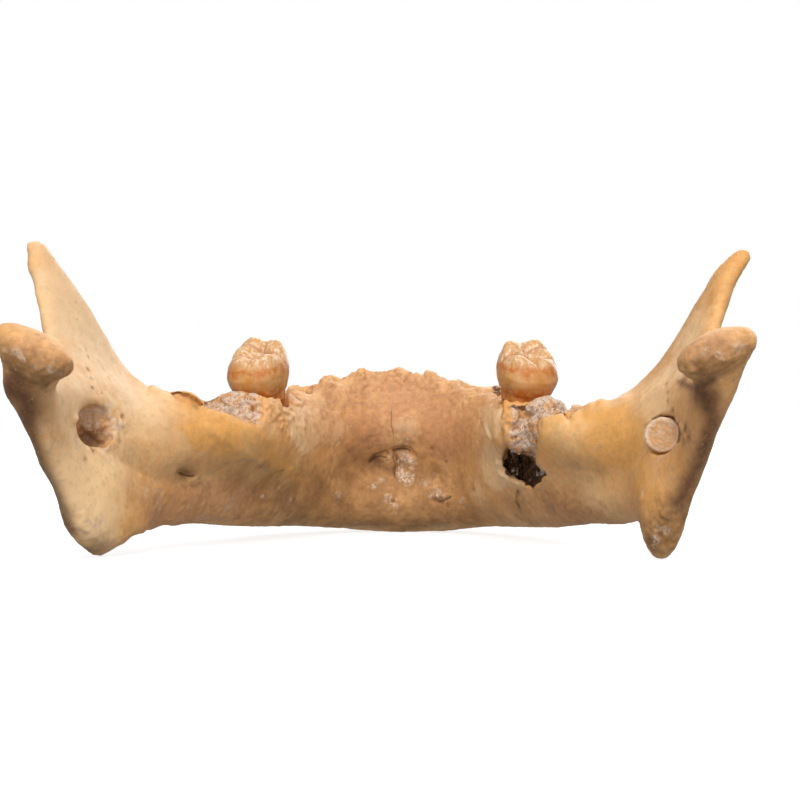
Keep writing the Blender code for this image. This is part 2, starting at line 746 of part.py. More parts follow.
def cut_places(jaw):
    """Cuts with crisp edges: the hole, the molar sockets and the foramina."""
    boolean(jaw, hole_cutter(), "DIFFERENCE")
    boolean(jaw, molar_socket(1.0), "DIFFERENCE")
    boolean(jaw, molar_socket(-1.0), "DIFFERENCE")
    boolean(jaw, foramen_pit(LEFT_FORAMEN, *LEFT_FORAMEN_SIZE, FORAMEN_DEPTH), "DIFFERENCE")
    width = PLUG_WIDTH + 2 * FIT_GAP
    height = PLUG_HEIGHT + 2 * FIT_GAP
    room = foramen_pit(RIGHT_FORAMEN, width, height, PLUG_THICKNESS + FIT_GAP)
    boolean(jaw, room, "DIFFERENCE")


def build():
    clear_scene()
    bone = material("bone", (0.72, 0.45, 0.22), 0.55)
    enamel = material("enamel", (0.78, 0.52, 0.29), 0.3)
    filling = material("filling", (0.62, 0.45, 0.31), 0.8)
    jaw = mandible(bone)
    cut_places(jaw)
    pieces = [
        jaw,
        molar("molar_right", 1.0, enamel),
        molar("molar_left", -1.0, enamel),
        foramen_plug(filling),
    ]
    fit = fit_to_size(jaw)
    for piece in pieces:
        piece.data.transform(fit)
        piece.data.shade_smooth()
        piece.data.set_sharp_from_angle(angle=math.radians(SHARP_ANGLE))
    flatten_rest(jaw)


build()
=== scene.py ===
"""Looks of a dry lower jaw bone with two molars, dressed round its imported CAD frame.

Lengths are in millimetres, and MM turns them into metres. A photo point is (across, down) in
pixels of the 800 by 800 photo. It is laid on the bone along the ray of the photo's camera,
and what is drawn there is then a fixed place on the bone, seen from any side.
"""

import math

import bpy
import numpy as np
from mathutils import Matrix, Vector, noise
from mathutils.bvhtree import BVHTree


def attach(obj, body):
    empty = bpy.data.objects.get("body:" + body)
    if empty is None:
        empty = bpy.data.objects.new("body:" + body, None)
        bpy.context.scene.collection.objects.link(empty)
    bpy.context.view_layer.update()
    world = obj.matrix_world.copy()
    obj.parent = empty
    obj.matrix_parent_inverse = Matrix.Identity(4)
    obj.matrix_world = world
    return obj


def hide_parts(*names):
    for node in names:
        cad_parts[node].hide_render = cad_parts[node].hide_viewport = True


MM = 0.001

# The camera of the photo, behind the jaw and just over the floor. Its clips are in metres.
CAMERA_AT = (15.03, -289.94, 20.5)
CAMERA_UP = 0.76
CAMERA_TURN = 2.7
LENS = 78.3
SENSOR = 36.0
IMAGE = 800
FOCAL = LENS / SENSOR * IMAGE
CLIP_NEAR = 0.01
CLIP_FAR = 20.0

# Strengths of the white room as it is seen and as it lights the jaw. The floor: how it
# glows, its colour and roughness, and its size in metres.
PURE_WHITE = (1.0, 1.0, 1.0, 1.0)
WHITE = 1.0
ROOM_LIGHT = 0.36
FLOOR_GLOW = 0.80
FLOOR_GREY = (140, 140, 140)
FLOOR_ROUGHNESS = 0.9
FLOOR_SIZE = 8.0

# The lights: name, strength, then breadth, lean and turn in degrees.
LIGHTS = (
    ("key", 2.0, 40.0, 36.0, 0.0),
    ("fill", 1.55, 100.0, 74.0, 2.0),
    ("front", 1.8, 60.0, -58.0, -20.0),
)
LIGHT_COLOUR = (1.0, 0.985, 0.96)

# Grain of the even skins, and the triangles that each piece keeps.
FIRST_GRAIN = 0.32
BONE_GRAIN = 0.25
TOOTH_GRAIN = 0.15
PLUG_GRAIN = 0.09
BONE_TRIANGLES = 190000
TOOTH_TRIANGLES = 45000
PLUG_TRIANGLES = 12000

# Points closer than this are one. Rounds of smoothing, and the share a point moves in each.
WELD = 0.001
FIRST_ROUNDS = 30
BONE_SMOOTHING = (2, 0.4)
TOOTH_SMOOTHING = (30, 0.5)
PLUG_SMOOTHING = (12, 0.5)

# The crest of the tooth-bearing rim against the background, as photo points.
CREST = (
    (148, 383.5), (160, 388.5), (168, 391.8), (172, 392.3), (177, 390.8), (182, 390.2),
    (190, 391.5), (197, 395), (202, 400.3), (205, 402), (208, 401.5), (215, 398.4), (222, 396.5),
    (228, 394), (234, 392.5), (242, 392), (250, 395), (258, 396.5), (284, 396), (286.5, 395),
    (288, 384.8), (290, 386.5), (296, 386.6), (309, 387.6), (318, 384), (324.5, 376.8),
    (331, 374.2), (337, 376.4), (342, 379), (347, 375.7), (356, 371), (360, 367.8), (366, 369.5),
    (373, 371.8), (381, 371.6), (391, 369.5), (397, 367.2), (404, 369), (413, 373.8), (420, 375.7),
    (427, 370.7), (434, 371.4), (443, 378), (449, 381), (459, 379.3), (468, 384.2), (477, 387),
    (491, 386.4), (498, 385), (503, 391), (530, 395.5), (545, 395.5), (552, 398), (559, 400.5),
    (564, 403.5), (567, 410.5), (568.5, 412), (570.5, 411.6), (571.3, 405.4), (579, 404),
    (582.5, 407.2), (588, 403.2), (593, 401), (595.5, 402.6), (598, 398.4), (603, 398.2),
    (606, 400.2), (613, 399.6), (627, 391.6), (636, 385))

# How far down a change of the crest reaches, how much farther for each pixel of rise, over
# how many pixels it begins at the ends, and how neighbouring columns share it.
CREST_REACH = 15.0
CREST_SPREAD = 1.5
CREST_ENDS = 4.0
CREST_SOFTENING = (0.25, 0.5, 0.25)

# How far back and forward the outer rim goes, and the near walls of the molar sockets.
RIM_SPAN = (-26.0, 60.0)
NEAR_SPAN = (-7.0, 6.3)
RIGHT_NEAR_WALL = (
    (501, 396), (505, 399), (511, 401.5), (518, 402.5), (528, 402), (536, 399), (545, 395.5),
    (552, 397.5), (559, 400), (566, 405))
LEFT_NEAR_WALL = (
    (210, 401), (216, 397.5), (224, 393.5), (233, 391.5), (246, 391.5), (256, 394), (266, 397),
    (276, 398), (286, 397.5))

# Lumps of spongy bone behind the broken walls: photo point, depth behind the wall, radii.
SPONGES = (
    ((524, 426), 2, (4, 2.6, 5)),
    ((546, 408), 2.6, (3.4, 2.4, 2.6)),
    ((236, 408), 2.4, (4.4, 2.4, 3)),
    ((262, 406), 2.4, (3, 2.2, 2.4)),
)
SPONGE_FINENESS = 4

# Where the inner wall is broken away, as outlines of photo points, with the depth of each.
RIGHT_BREAK = (
    (503, 408), (512, 405.5), (520, 406.5), (528, 405), (532, 396), (534, 386), (560, 388),
    (570, 400), (568, 411.8), (558, 414), (546, 416.8), (538.6, 420.5), (538.2, 440), (535.7, 456),
    (535.7, 462), (523, 454), (509, 452), (502, 455), (504, 440), (501, 424))
LEFT_BREAK = (
    (205, 403), (210, 398), (214, 386), (252, 384), (260, 396), (263, 405), (264, 424),
    (256, 424.5), (247.6, 422.6), (234.6, 415.8), (217, 411), (205, 407.8))
LEFT_SLIT = (
    (170, 393), (178, 391.5), (188, 393.5), (196, 398), (203, 404), (199, 407), (188, 403.5),
    (177, 399))
HOLE = (
    (509, 449), (506.5, 453), (507.5, 457), (504, 461), (503, 466), (506, 469), (505, 473),
    (509, 476.5), (514, 475.5), (518, 479.5), (523, 480.5), (526, 485.5), (530, 485), (533, 489),
    (536.5, 484), (542.4, 481), (541.5, 478), (547, 475), (545, 471.5), (541, 470.5), (538.5, 467),
    (535.9, 464), (535.7, 453.7), (532, 450), (528, 453.5), (523, 451), (519, 455), (514, 449.5))
BREAK_DEPTH = 1.5
SLIT_DEPTH = 1.5
HOLE_DEPTH = 3.4
HOLE_MIDDLE = (520, 462)

# The part of a wall that a break takes with it, from its nearest point on. The colours of
# the breaks reach as far behind the hole's middle.
WALL_REACH = 12.0

# Where each break and its spongy bone begin and where they are full, in pixels across.
RIGHT_BREAK_RAMP = (502, 524)
LEFT_BREAK_RAMP = (268, 240)
RIGHT_SPONGE_EDGE = (503, 518)
LEFT_SPONGE_EDGE = (266, 252)

# Painted highlights on glossy crumbs in the hole: photo point and radius in pixels.
GLINTS = (
    (542, 472.5, 2.6), (537, 475, 1.6), (513, 470, 1.6), (518, 474, 1.2), (530, 480, 1.2),
    (511, 461, 1), (526, 470, 1))

# Broad swellings and hollows of the inner side: photo point, radius, height.
SWELLS = (
    (355, 420, 5, 0.7), (343, 440, 4, 0.4), (378, 466, 3.2, -1), (352, 472, 4, -0.6),
    (393, 478, 3, -0.4), (404, 458, 2.4, 0.6), (401, 478, 2.2, 0.4), (445, 428, 6, 0.6),
    (438, 450, 3.6, 0.5), (425, 482, 3, -0.5), (456, 484, 3.5, -0.5), (220, 432, 4, 0.5),
    (246, 446, 4, 0.7), (273, 460, 3.2, 0.7), (294, 468, 3, 0.6), (186, 474, 3, -0.8),
    (222, 484, 4.4, -0.6), (262, 490, 4, -0.9), (240, 500, 4, -0.3), (300, 496, 4.6, -0.4),
    (568, 440, 4.4, 0.4), (602, 432, 4.4, 0.3), (560, 472, 4, -0.4), (592, 480, 5, -0.5),
    (622, 474, 4, -0.4), (496, 422, 1.8, 0.5), (499, 440, 1.6, 0.5), (340, 494, 3, 0.4))

# Parts of the outline that move: photo point, radius in pixels, pixels to the right and up.
SHIFTS = (
    (33, 268, 15, -6, 0),
    (30, 243, 9, -3, 0),
    (38, 292, 12, -3.5, 0),
    (146, 523, 13, 0, -8),
    (176, 523, 13, 0, -3),
    (122, 539, 9, 1, -2),
    (746, 258, 12, 5, 0.5),
    (14, 390, 24, -9, 0),
    (28, 430, 18, -3.5, 0),
    (46, 462, 22, -6, 0),
    (36, 380, 13, 0, -5),
    (719, 272, 20, -5, 1),
)

# Thin struts of bone left standing in the hole: two photo points and how deep they lie.
STRUTS = (
    ((512, 451), (518, 467), 1.2),
    ((526, 451), (522, 466), 2.4),
    ((537, 462), (528, 474), 2),
)
STRUT_RADIUS = 0.32
STRUT_SIDES = 10

# Small vessel holes: photo point, radius, depth.
PITS = (
    (86, 350, 0.12, 0.3), (88, 357, 0.1, 0.3), (88, 370, 0.24, 0.5), (91, 378, 0.18, 0.4),
    (93, 388, 0.26, 0.5), (102, 393, 0.1, 0.2), (123, 418, 0.45, 0.7), (94.5, 450, 0.55, 1),
    (672, 413, 0.5, 1), (665, 385, 0.42, 0.8), (667, 393, 0.26, 0.4), (667, 403, 0.3, 0.4),
    (298, 398.5, 0.55, 0.8), (392.7, 501, 0.34, 0.8), (497.5, 390.5, 0.75, 1.6),
    (282, 470, 0.22, 0.3), (431, 449, 0.2, 0.3), (446, 462, 0.2, 0.3), (86, 460, 0.3, 0.3))

# Cracks, grooves and folds: half width, depth (a ridge is less than nothing), photo points.
LINES = (
    (0.4, 0.2, ((518, 492), (516.5, 503), (520, 515))),
    (0.55, 0.75, ((372, 461), (379, 456.4), (386, 454))),
    (0.45, 0.8, ((393, 450), (401.8, 448), (408.6, 449.5), (413, 454))),
    (0.3, 0.55, ((394, 452), (395, 462), (394, 474))),
    (0.34, 0.5, ((432, 500), (441, 503), (449, 498))),
    (0.55, 0.5, ((179, 472), (185, 474.5), (190, 476), (195, 476))),
    (1.1, 0.4, ((106, 447), (124, 462), (146, 474), (170, 483), (196, 488))),
    (0.9, -0.25, ((178, 412), (215, 434), (243, 452), (262, 462), (290, 470), (312, 470))),
    (0.5, -0.35, ((74, 420), (82, 411), (94, 408), (106, 412), (114, 422), (115, 436))),
    (0.4, -0.25, ((646, 424), (655, 418), (668, 417), (680, 424), (685, 436))),
    (0.35, -0.2, ((294, 394), (300, 393.5), (304, 399), (301, 405), (295, 404))),
    (0.35, -0.15, ((277, 414), (284, 411), (292, 415), (288, 420), (280, 419))),
    (0.5, -0.6, ((498, 462), (499, 470), (505, 476), (514, 481), (524, 485))),
    (0.4, -0.3, ((486, 425), (492, 440), (489, 456))),
)

# Painted shade in thin dark cracks, creases and gaps: half width in pixels, strength, photo points.
CRACKS = (
    (0.6, 0.5, ((518, 490), (516, 497), (516.5, 503), (520, 509))),
    (0.45, 0.6, ((391.3, 411), (391.8, 417), (391, 423), (392.6, 430), (393.8, 436))),
    (0.8, 0.8, ((370, 462), (374, 458), (379, 456), (387, 457.5))),
    (0.8, 0.9, ((392, 451), (396, 449), (402, 448), (408.6, 449.5), (411, 452))),
    (0.6, 0.6, ((394, 452), (393, 458), (395.5, 465), (394, 472), (395, 478))),
    (0.5, 0.7, ((439, 502), (444, 500.5), (452, 496))),
    (0.9, 0.9, ((179, 472.5), (183, 474.5), (188, 476), (195, 475.7))),
    (1.2, 0.9, ((651, 419.5), (660, 415.8), (669, 417.3), (677, 424), (680, 434), (678, 443))),
)

# The gap, in half widths, at which there is no crack. The depth in which the photo's
# camera finds a place that lies outside the bone.
CRACK_FAR = 12.0
OUTSIDE_DEPTH = -30.0

# Crumbly patches that stand on the surface: photo point, radius, height.
CRUMBS = (
    (404, 456, 1.5, 0.26), (412, 464, 1.3, 0.24), (389, 460, 1, 0.24), (401, 476, 1.4, 0.24),
    (408, 483, 1.1, 0.2), (381, 480, 1.2, 0.24), (388, 497, 1.2, 0.24), (394, 506, 1.2, 0.22),
    (339, 494, 1, 0.22), (290.5, 499, 0.7, 0.22), (279, 488, 0.5, 0.2), (264, 497, 0.4, 0.2),
    (430, 484, 1.5, 0.18), (438, 492, 1.6, 0.24), (447, 499, 1.2, 0.22), (462, 504, 1.4, 0.18),
    (300, 500, 0.5, 0.2), (121, 424, 0.7, 0.2), (641, 498, 1.2, 0.2))

# Rough, worn ground: photo point, radius, height of the grain.
ROUGH = (
    (300, 390, 2.4, 0.26), (318, 384, 2.4, 0.3), (340, 382, 2.4, 0.26), (362, 374, 2.4, 0.28),
    (385, 376, 2.4, 0.22), (405, 375, 2.4, 0.26), (430, 378, 2.4, 0.28), (452, 386, 2.2, 0.28),
    (475, 392, 2.2, 0.22), (270, 400, 2.2, 0.14), (290, 404, 2.4, 0.1), (496, 410, 2.2, 0.14),
    (20, 352, 3.6, 0.08), (45, 365, 3.4, 0.09), (60, 378, 2.2, 0.1), (6, 366, 2.4, 0.1),
    (700, 360, 3.2, 0.11), (725, 352, 3.4, 0.11), (745, 343, 3, 0.1), (688, 374, 2, 0.14),
    (93, 430, 3.2, 0.65), (658, 540, 2.8, 0.2), (664, 520, 2.2, 0.18), (75, 525, 3.5, 0.08),
    (95, 545, 3, 0.06), (160, 505, 3, 0.09), (185, 515, 4, 0.1), (215, 508, 4, 0.1),
    (245, 515, 4, 0.09), (275, 505, 3.5, 0.07), (545, 505, 3, 0.09), (570, 512, 3.5, 0.1),
    (600, 520, 3.5, 0.08), (520, 430, 3.2, 0.3), (524, 412, 2.8, 0.3), (552, 405, 2.6, 0.3),
    (240, 405, 3.2, 0.4), (225, 402, 1.8, 0.4), (256, 414, 1.8, 0.3), (400, 470, 4, 0.14),
    (440, 492, 3, 0.16), (300, 440, 4, 0.1), (285, 430, 3, 0.12))

# Colour laid over the bone, layer by layer, with painted light and shade: photo point, radius,
# strength.
SHADES = {
    # Cream bone, over the left ramus and its angle also painted light.
    "cream": (
        (45, 260, 7, 0.2), (55, 290, 8, 0.7), (75, 320, 8, 0.9), (100, 350, 7, 0.9),
        (130, 395, 6, 0.9), (80, 395, 6, 0.7), (60, 400, 4, 0.7), (150, 415, 5, 0.7),
        (75, 470, 6, 0.9), (95, 500, 5, 0.9), (110, 470, 5, 0.8), (90, 520, 4, 0.7),
        (738, 260, 5, 0.2), (510, 465, 1.2, 0.7), (498, 466, 1.6, 0.8), (506, 478, 1.5, 0.8),
        (519, 484, 1.2, 0.8), (499, 462, 0.9, 0.9), (500, 470, 0.9, 0.9), (506, 476.5, 0.9, 0.9),
        (513, 480, 0.9, 0.9), (520, 483, 0.9, 0.9), (489, 440, 2.2, 0.6), (530, 372, 4, 0.3),
        (500, 412, 1.4, 0.6), (660, 400, 4, 0.5), (575, 425, 4, 0.3), (488, 470, 2.6, 0.8),
        (478, 490, 2.6, 0.6), (600, 505, 5, 0.4), (110, 520, 4, 0.7), (100, 540, 3, 0.5),
        (600, 415, 4, 0.5), (670, 370, 4, 0.6), (192, 430, 4, 0.3)),
    "ochre": (
        (225, 430, 3.6, 0.9), (250, 442, 3.6, 0.9), (285, 462, 3, 0.8), (195, 420, 4, 0.5),
        (305, 468, 3, 0.7), (560, 425, 5, 0.9), (590, 425, 5, 0.7), (575, 445, 4, 0.7),
        (545, 455, 2.5, 0.8), (640, 480, 3.5, 0.9), (650, 500, 3, 0.9), (635, 440, 5, 0.7),
        (120, 510, 4, 0.5), (115, 490, 3, 0.5), (130, 530, 3, 0.6), (140, 450, 4, 0.5),
        (360, 505, 4, 0.3), (475, 475, 4, 0.5), (490, 490, 3, 0.5), (610, 450, 5, 0.6),
        (322, 455, 3, 0.6), (345, 452, 2.6, 0.4), (472, 424, 2.4, 0.4), (366, 408, 2.6, 0.3),
        (412, 508, 3, 0.3), (425, 404, 2.6, 0.35), (462, 466, 3, 0.4), (384, 396, 2, 0.3),
        (725, 290, 7, 0.5), (745, 262, 4, 0.8), (705, 320, 5, 0.4), (490, 466, 2.6, 0.6),
        (208, 403, 1.4, 0.9), (190, 399, 2.2, 0.9), (508, 402, 1.6, 0.9), (524, 401, 1.4, 0.7),
        (560, 402, 1.2, 0.7), (596, 402, 1.8, 0.9), (600, 490, 4, 0.4), (34, 262, 1.6, 0.5),
        (40, 300, 1.6, 0.4)),
    # Painted light, lighter colour where the bone looks better lit.
    "light": (
        (75, 478, 5, 0.6), (97, 502, 6, 0.8), (110, 478, 4, 0.5), (88, 530, 4, 0.6),
        (66, 455, 4, 0.5), (487, 470, 3, 0.7), (600, 498, 5, 0.4), (130, 440, 5, 0.5),
        (690, 335, 5, 0.9), (650, 390, 4, 0.5), (560, 432, 4, 0.3), (478, 495, 3, 0.4),
        (308, 426, 5, 0.7), (250, 449, 3, 0.3), (492, 466, 2.2, 0.7), (340, 384, 2.4, 0.4),
        (404, 378, 2.6, 0.4), (440, 386, 2.4, 0.4), (470, 394, 2.6, 0.4), (322, 400, 2.6, 0.4),
        (570, 440, 4, 0.35), (372, 386, 3, 0.3), (490, 478, 2.4, 0.6), (660, 398, 4, 0.3)),
    "rose": (
        (335, 425, 6, 0.6), (370, 430, 5, 0.7), (355, 455, 4, 0.5), (430, 420, 6, 0.7),
        (450, 445, 6, 0.7), (420, 395, 5, 0.3), (700, 350, 4, 0.6), (560, 512, 4, 0.6),
        (200, 512, 5, 0.5), (165, 505, 4, 0.4), (240, 515, 4, 0.4), (600, 518, 4, 0.5),
        (440, 505, 3, 0.6), (415, 518, 3, 0.5), (330, 393, 4, 0.7), (360, 386, 4, 0.7),
        (392, 384, 4, 0.7), (400, 405, 5, 0.6), (424, 386, 4, 0.7), (452, 394, 4, 0.7),
        (478, 398, 4, 0.5), (24, 358, 3.6, 0.6), (56, 366, 3, 0.5), (300, 400, 4, 0.5),
        (730, 345, 4, 0.4), (93, 430, 3, 0.8), (690, 440, 4, 0.4), (310, 432, 4, 0.4),
        (480, 420, 3, 0.4), (480, 450, 3, 0.4)),
    # Greyish brown, and painted shade in hollows, under bulges, along the lower front and the backs
    # of the rami.
    "grey_and_shade": (
        (262, 486, 3.6, 0.6), (285, 494, 4.4, 0.7), (320, 492, 5, 0.8), (188, 474, 3, 0.4),
        (300, 515, 5, 0.8), (345, 515, 5, 0.8), (350, 485, 4, 0.7), (265, 462, 1.6, 0.6),
        (375, 515, 5, 0.8), (410, 520, 5, 0.8), (440, 512, 5, 0.8), (470, 512, 4, 0.8),
        (495, 512, 4, 0.5), (380, 490, 4, 0.7), (420, 495, 4, 0.7), (455, 492, 3, 0.5),
        (400, 468, 3, 0.8), (420, 470, 2.4, 0.5), (375, 464, 2.6, 0.9), (362, 462, 2.6, 0.6),
        (385, 480, 2, 0.6), (425, 478, 3, 0.5), (520, 510, 4, 0.6), (550, 498, 4, 0.4),
        (575, 462, 2.4, 0.3), (598, 470, 2, 0.3), (640, 515, 2, 0.4), (340, 470, 3, 0.5),
        (655, 540, 3, 0.8), (664, 520, 2.4, 0.7), (235, 470, 3, 0.3), (700, 364, 3, 0.5),
        (728, 358, 3, 0.5), (750, 350, 2, 0.4), (24, 360, 2.4, 0.3), (580, 512, 4, 0.4),
        (610, 520, 3, 0.4), (80, 540, 2.6, 0.4), (270, 510, 5, 0.4), (15, 366, 2.6, 0.8),
        (38, 374, 2.6, 0.8), (58, 372, 2.2, 0.7), (700, 370, 2.2, 0.8), (720, 366, 2.2, 0.6),
        (6, 362, 2.4, 0.6), (664, 534, 2.6, 0.6), (672, 516, 2, 0.5), (718, 440, 2.4, 0.4),
        (705, 470, 2.2, 0.4), (695, 498, 2, 0.4), (680, 524, 2, 0.6), (130, 455, 2.4, 0.2),
        (240, 478, 3, 0.5)),
    # Mostly painted shade in holes, gaps, creases and under the condyles, partly stained bone.
    "stain_and_shade": (
        (93, 434, 2.2, 0.35), (100, 440, 1.2, 0.4), (686, 428, 0.7, 0.8), (680, 422, 0.6, 0.7),
        (688, 438, 0.6, 0.8), (683, 381, 1, 0.7), (376, 459, 1.1, 0.8), (402, 449.5, 1, 0.8),
        (92, 444, 1.8, 0.7), (84, 434, 1.6, 0.5), (186, 474, 1.4, 0.8), (20, 378, 1.6, 0.5),
        (518, 505, 0.6, 0.7), (518, 492, 0.6, 0.7), (195, 402, 0.9, 0.9), (182, 397, 0.8, 0.9),
        (497.5, 390.5, 0.9, 1), (100, 548, 2.2, 0.5), (90, 552, 2, 0.5), (652, 545, 1.4, 0.5),
        (684, 440, 0.8, 0.5), (393, 470, 1, 0.5), (510, 447, 1, 0.6)),
    "pale": (
        (404, 456, 1.5, 0.65), (412, 464, 1.3, 0.65), (389, 460, 1, 0.6), (401, 476, 1.4, 0.65),
        (408, 483, 1.1, 0.55), (381, 480, 1.2, 0.55), (388, 497, 1.2, 0.6), (394, 506, 1.2, 0.55),
        (339, 494, 1, 0.55), (290.5, 499, 0.7, 0.7), (427, 484, 1.6, 0.5), (436, 490, 1.8, 0.6),
        (446, 497, 1.3, 0.5), (462, 503, 1.8, 0.55), (374, 486, 0.8, 0.7), (262, 496, 0.6, 0.7),
        (15, 350, 1.2, 0.5), (22, 357, 0.9, 0.5), (36, 366, 1.1, 0.5), (50, 369, 1.2, 0.55),
        (4, 350, 0.9, 0.5), (60, 374, 0.9, 0.5), (700, 352, 1.6, 0.5), (738, 346, 1.6, 0.5),
        (722, 356, 1.4, 0.5), (682, 374, 1.4, 0.8), (122, 426, 0.8, 0.8), (641, 496, 1.2, 0.7),
        (160, 505, 1.6, 0.5), (655, 548, 1, 0.5), (230, 505, 2.4, 0.5), (200, 518, 2.4, 0.5),
        (145, 490, 1.6, 0.6), (160, 488, 1, 0.6), (84, 410, 1.1, 0.9), (96, 407, 1.1, 0.9),
        (106, 411, 1.1, 0.9), (113, 422, 1, 0.9), (80, 446, 0.8, 0.7), (106, 448, 0.9, 0.8),
        (93, 415, 1.5, 0.8), (84, 420, 1.3, 0.7), (112, 436, 0.8, 0.8), (655, 540, 0.9, 0.8),
        (668, 530, 0.9, 0.8), (490, 425, 1.2, 0.6), (576, 407.5, 1.5, 0.9), (658, 530, 1.2, 0.6),
        (92, 528, 2.2, 0.6), (104, 520, 1.6, 0.5), (95, 407, 1.2, 0.6), (115, 425, 1, 0.6),
        (76, 440, 1, 0.6), (93, 425, 1.6, 0.5), (648, 440, 1, 0.6), (660, 458, 1, 0.6),
        # The first two spots below are painted highlights in the hole.
        (541.5, 472, 0.5, 0.9), (513, 470, 0.4, 0.8), (400, 425, 1.4, 0.5), (412, 432, 1.4, 0.4)),
}

# Patches with an edge: layer, strength, height, and the outline as photo points.
PATCHES = (
    # The first patch is painted shade in a small socket hole.
    ("stain_and_shade", 0.95, -0.9, ((494, 387), (499, 385), (502, 391), (501, 397), (496, 395))),
    ("cream", 0.62, 0.1, (
        (288, 420), (293, 410), (306, 406), (322, 409), (338, 412), (348, 421), (345, 437),
        (332, 446), (318, 444), (311, 452), (300, 457), (296, 446), (289, 438))),
    ("rose", 0.4, 0, (
        (352, 400), (368, 397), (384, 404), (388, 424), (383, 446), (366, 452), (350, 446),
        (346, 424))),
    ("cream", 0.6, 0.08, (
        (394, 420), (404, 414), (416, 418), (420, 434), (412, 446), (400, 443), (395, 434))),
    ("rose", 0.4, 0, (
        (420, 398), (446, 394), (468, 404), (476, 424), (470, 446), (450, 462), (430, 452),
        (420, 430))),
    ("rose", 0.5, 0, (
        (140, 500), (165, 490), (200, 482), (238, 476), (262, 488), (268, 506), (250, 521),
        (200, 523), (150, 527))),
    ("cream", 0.55, 0.1, (
        (478, 410), (490, 404), (500, 410), (502, 424), (494, 442), (484, 436), (482, 424))),
    ("rose", 0.5, 0, (
        (527, 497), (548, 492), (575, 500), (603, 514), (604, 525), (560, 527), (528, 528))),
    ("ochre", 0.9, 0, (
        (206, 411), (232, 418), (256, 427), (272, 440), (282, 456), (298, 470), (306, 480),
        (290, 480), (274, 471), (262, 460), (240, 457), (214, 452), (190, 446), (180, 426))),
    ("ochre", 0.85, 0, (
        (541, 424), (560, 416), (590, 411), (622, 404), (640, 420), (642, 450), (625, 470),
        (604, 462), (576, 456), (550, 452), (540, 440))),
    ("cream", 0.8, 0, (
        (480, 448), (494, 444), (501, 456), (500, 468), (512, 482), (500, 490), (484, 480))),
)

# Soft dark bands: layer, strength, half width in pixels, photo points.
# Painted shade, partly stained bone, under the condyles and down the back of each ramus.
BANDS = (
    ("stain_and_shade", 0.96, 17, ((10, 388), (24, 398), (30, 410))),
    ("stain_and_shade", 0.8, 8.5, ((26, 420), (35, 445), (44, 468), (54, 492), (63, 513), (70, 530))),
    ("stain_and_shade", 0.8, 10, ((698, 391), (712, 398))),
    ("stain_and_shade", 0.86, 11, ((706, 398), (712, 418), (707, 440), (699, 462), (689, 482), (680, 502))),
    ("stain_and_shade", 0.8, 3.5, ((680, 382), (690, 387), (702, 386), (712, 380))),
)

# Colours of the bone's ground and of the layers on it, as 8-bit sRGB.
BONE_TAN = (224, 174, 118)
BONE_AMBER = (212, 153, 93)
LAYER_COLOURS = {
    "cream": (231, 197, 154),
    "ochre": (224, 164, 90),
    # Painted light.
    "light": (252, 212, 160),
    "rose": (196, 142, 98),
    # Partly painted shade.
    "grey_and_shade": (150, 108, 66),
    # Mostly painted shade, partly stained bone.
    "stain_and_shade": (92, 58, 34),
    "pale": (210, 182, 156),
    "deep": (72, 50, 36),
}

# The order in which the layers lie, with how soft and how ragged the edge of each is.
LAYERS = (
    ("cream", 1.0, 0.24), ("ochre", 0.9, 0.24), ("light", 1.0, 0.20), ("rose", 0.8, 0.24),
    ("grey_and_shade", 1.0, 0.16), ("stain_and_shade", 1.0, 0.10), ("pale", 0.35, 0.24))

# Colours of the marks on the bone, of the teeth and of the filling, as 8-bit sRGB.
DEEP_CRUMBS = (150, 116, 88)
# A painted highlight.
GLINT = (252, 250, 248)
# Painted shade in cracks.
CRACK_SHADE = (84, 50, 28)
SPONGE = (214, 190, 170)
SPONGE_TAN = (204, 150, 96)
SPONGE_PIT = (140, 98, 70)
STREAK = (156, 104, 62)
SPECK = (232, 206, 178)
PORE = (124, 78, 46)
ENAMEL_TOP = (200, 152, 100)
ENAMEL_STREAK = (228, 202, 170)
ENAMEL_SIDE = (208, 160, 106)
ENAMEL_CLOUD = (196, 138, 76)
ENAMEL_NECK = (184, 100, 22)
GROOVE_DARK = (168, 108, 62)
ROOT_COLOUR = (206, 138, 74)
PLUG_FACE = (206, 168, 132)
PLUG_OCHRE = (206, 154, 102)
PLUG_RIM = (224, 200, 174)
PLUG_RING = (172, 130, 96)

# Noises of the surfaces: size of the lumps, octaves, and a shift that makes each its own.
BROAD_GRAIN = (7.0, 3)
SMALL_GRAIN = (1.3, 3)
FINE_GRAIN = (0.85, 2, 40.0)
COARSE_GRAIN = (1.9, 2, -25.0)
FIBRE_GRAIN = (0.55, 2, 11.0)
PATCH_GRAIN = (1.8, 3, 3.0)
EDGE_GRAINS = ((1.6, 3, 3.0), (1.6, 3, -3.0))
SPOT_GRAINS = ((0.45, (2.6, 3, 7.0)), (0.25, (0.8, 2)))
CLOUD_GRAINS = ((0.7, (11.0, 3)), (0.5, (2.6, 3)))
CLOUD_SHIFT = 31.0

# Heights of the broad, small and fine grain.
GRAIN_RISES = (0.10, 0.05, 0.03)

# Rough ground: how high up and how far forward the crest begins and is full, and how
# rough it and the sockets are.
CREST_HEIGHTS = (17.0, 23.0)
CREST_DEPTHS = (-12.0, -2.0)
CREST_ROUGH = 0.10
SOCKET_ROUGH = 0.30

# Worn ground: its strength, and its shares of fine and coarse grain.
WORN_RISE = 1.9
WORN_SHARES = (0.75, 0.6)

# Fibres along the lower border: how drawn out, up to which height, and how high they stand.
FIBRE_STRETCH = (0.28, 0.28, 1.0)
FIBRE_HEIGHTS = (3.0, 9.0)
FIBRE_RISE = 0.07

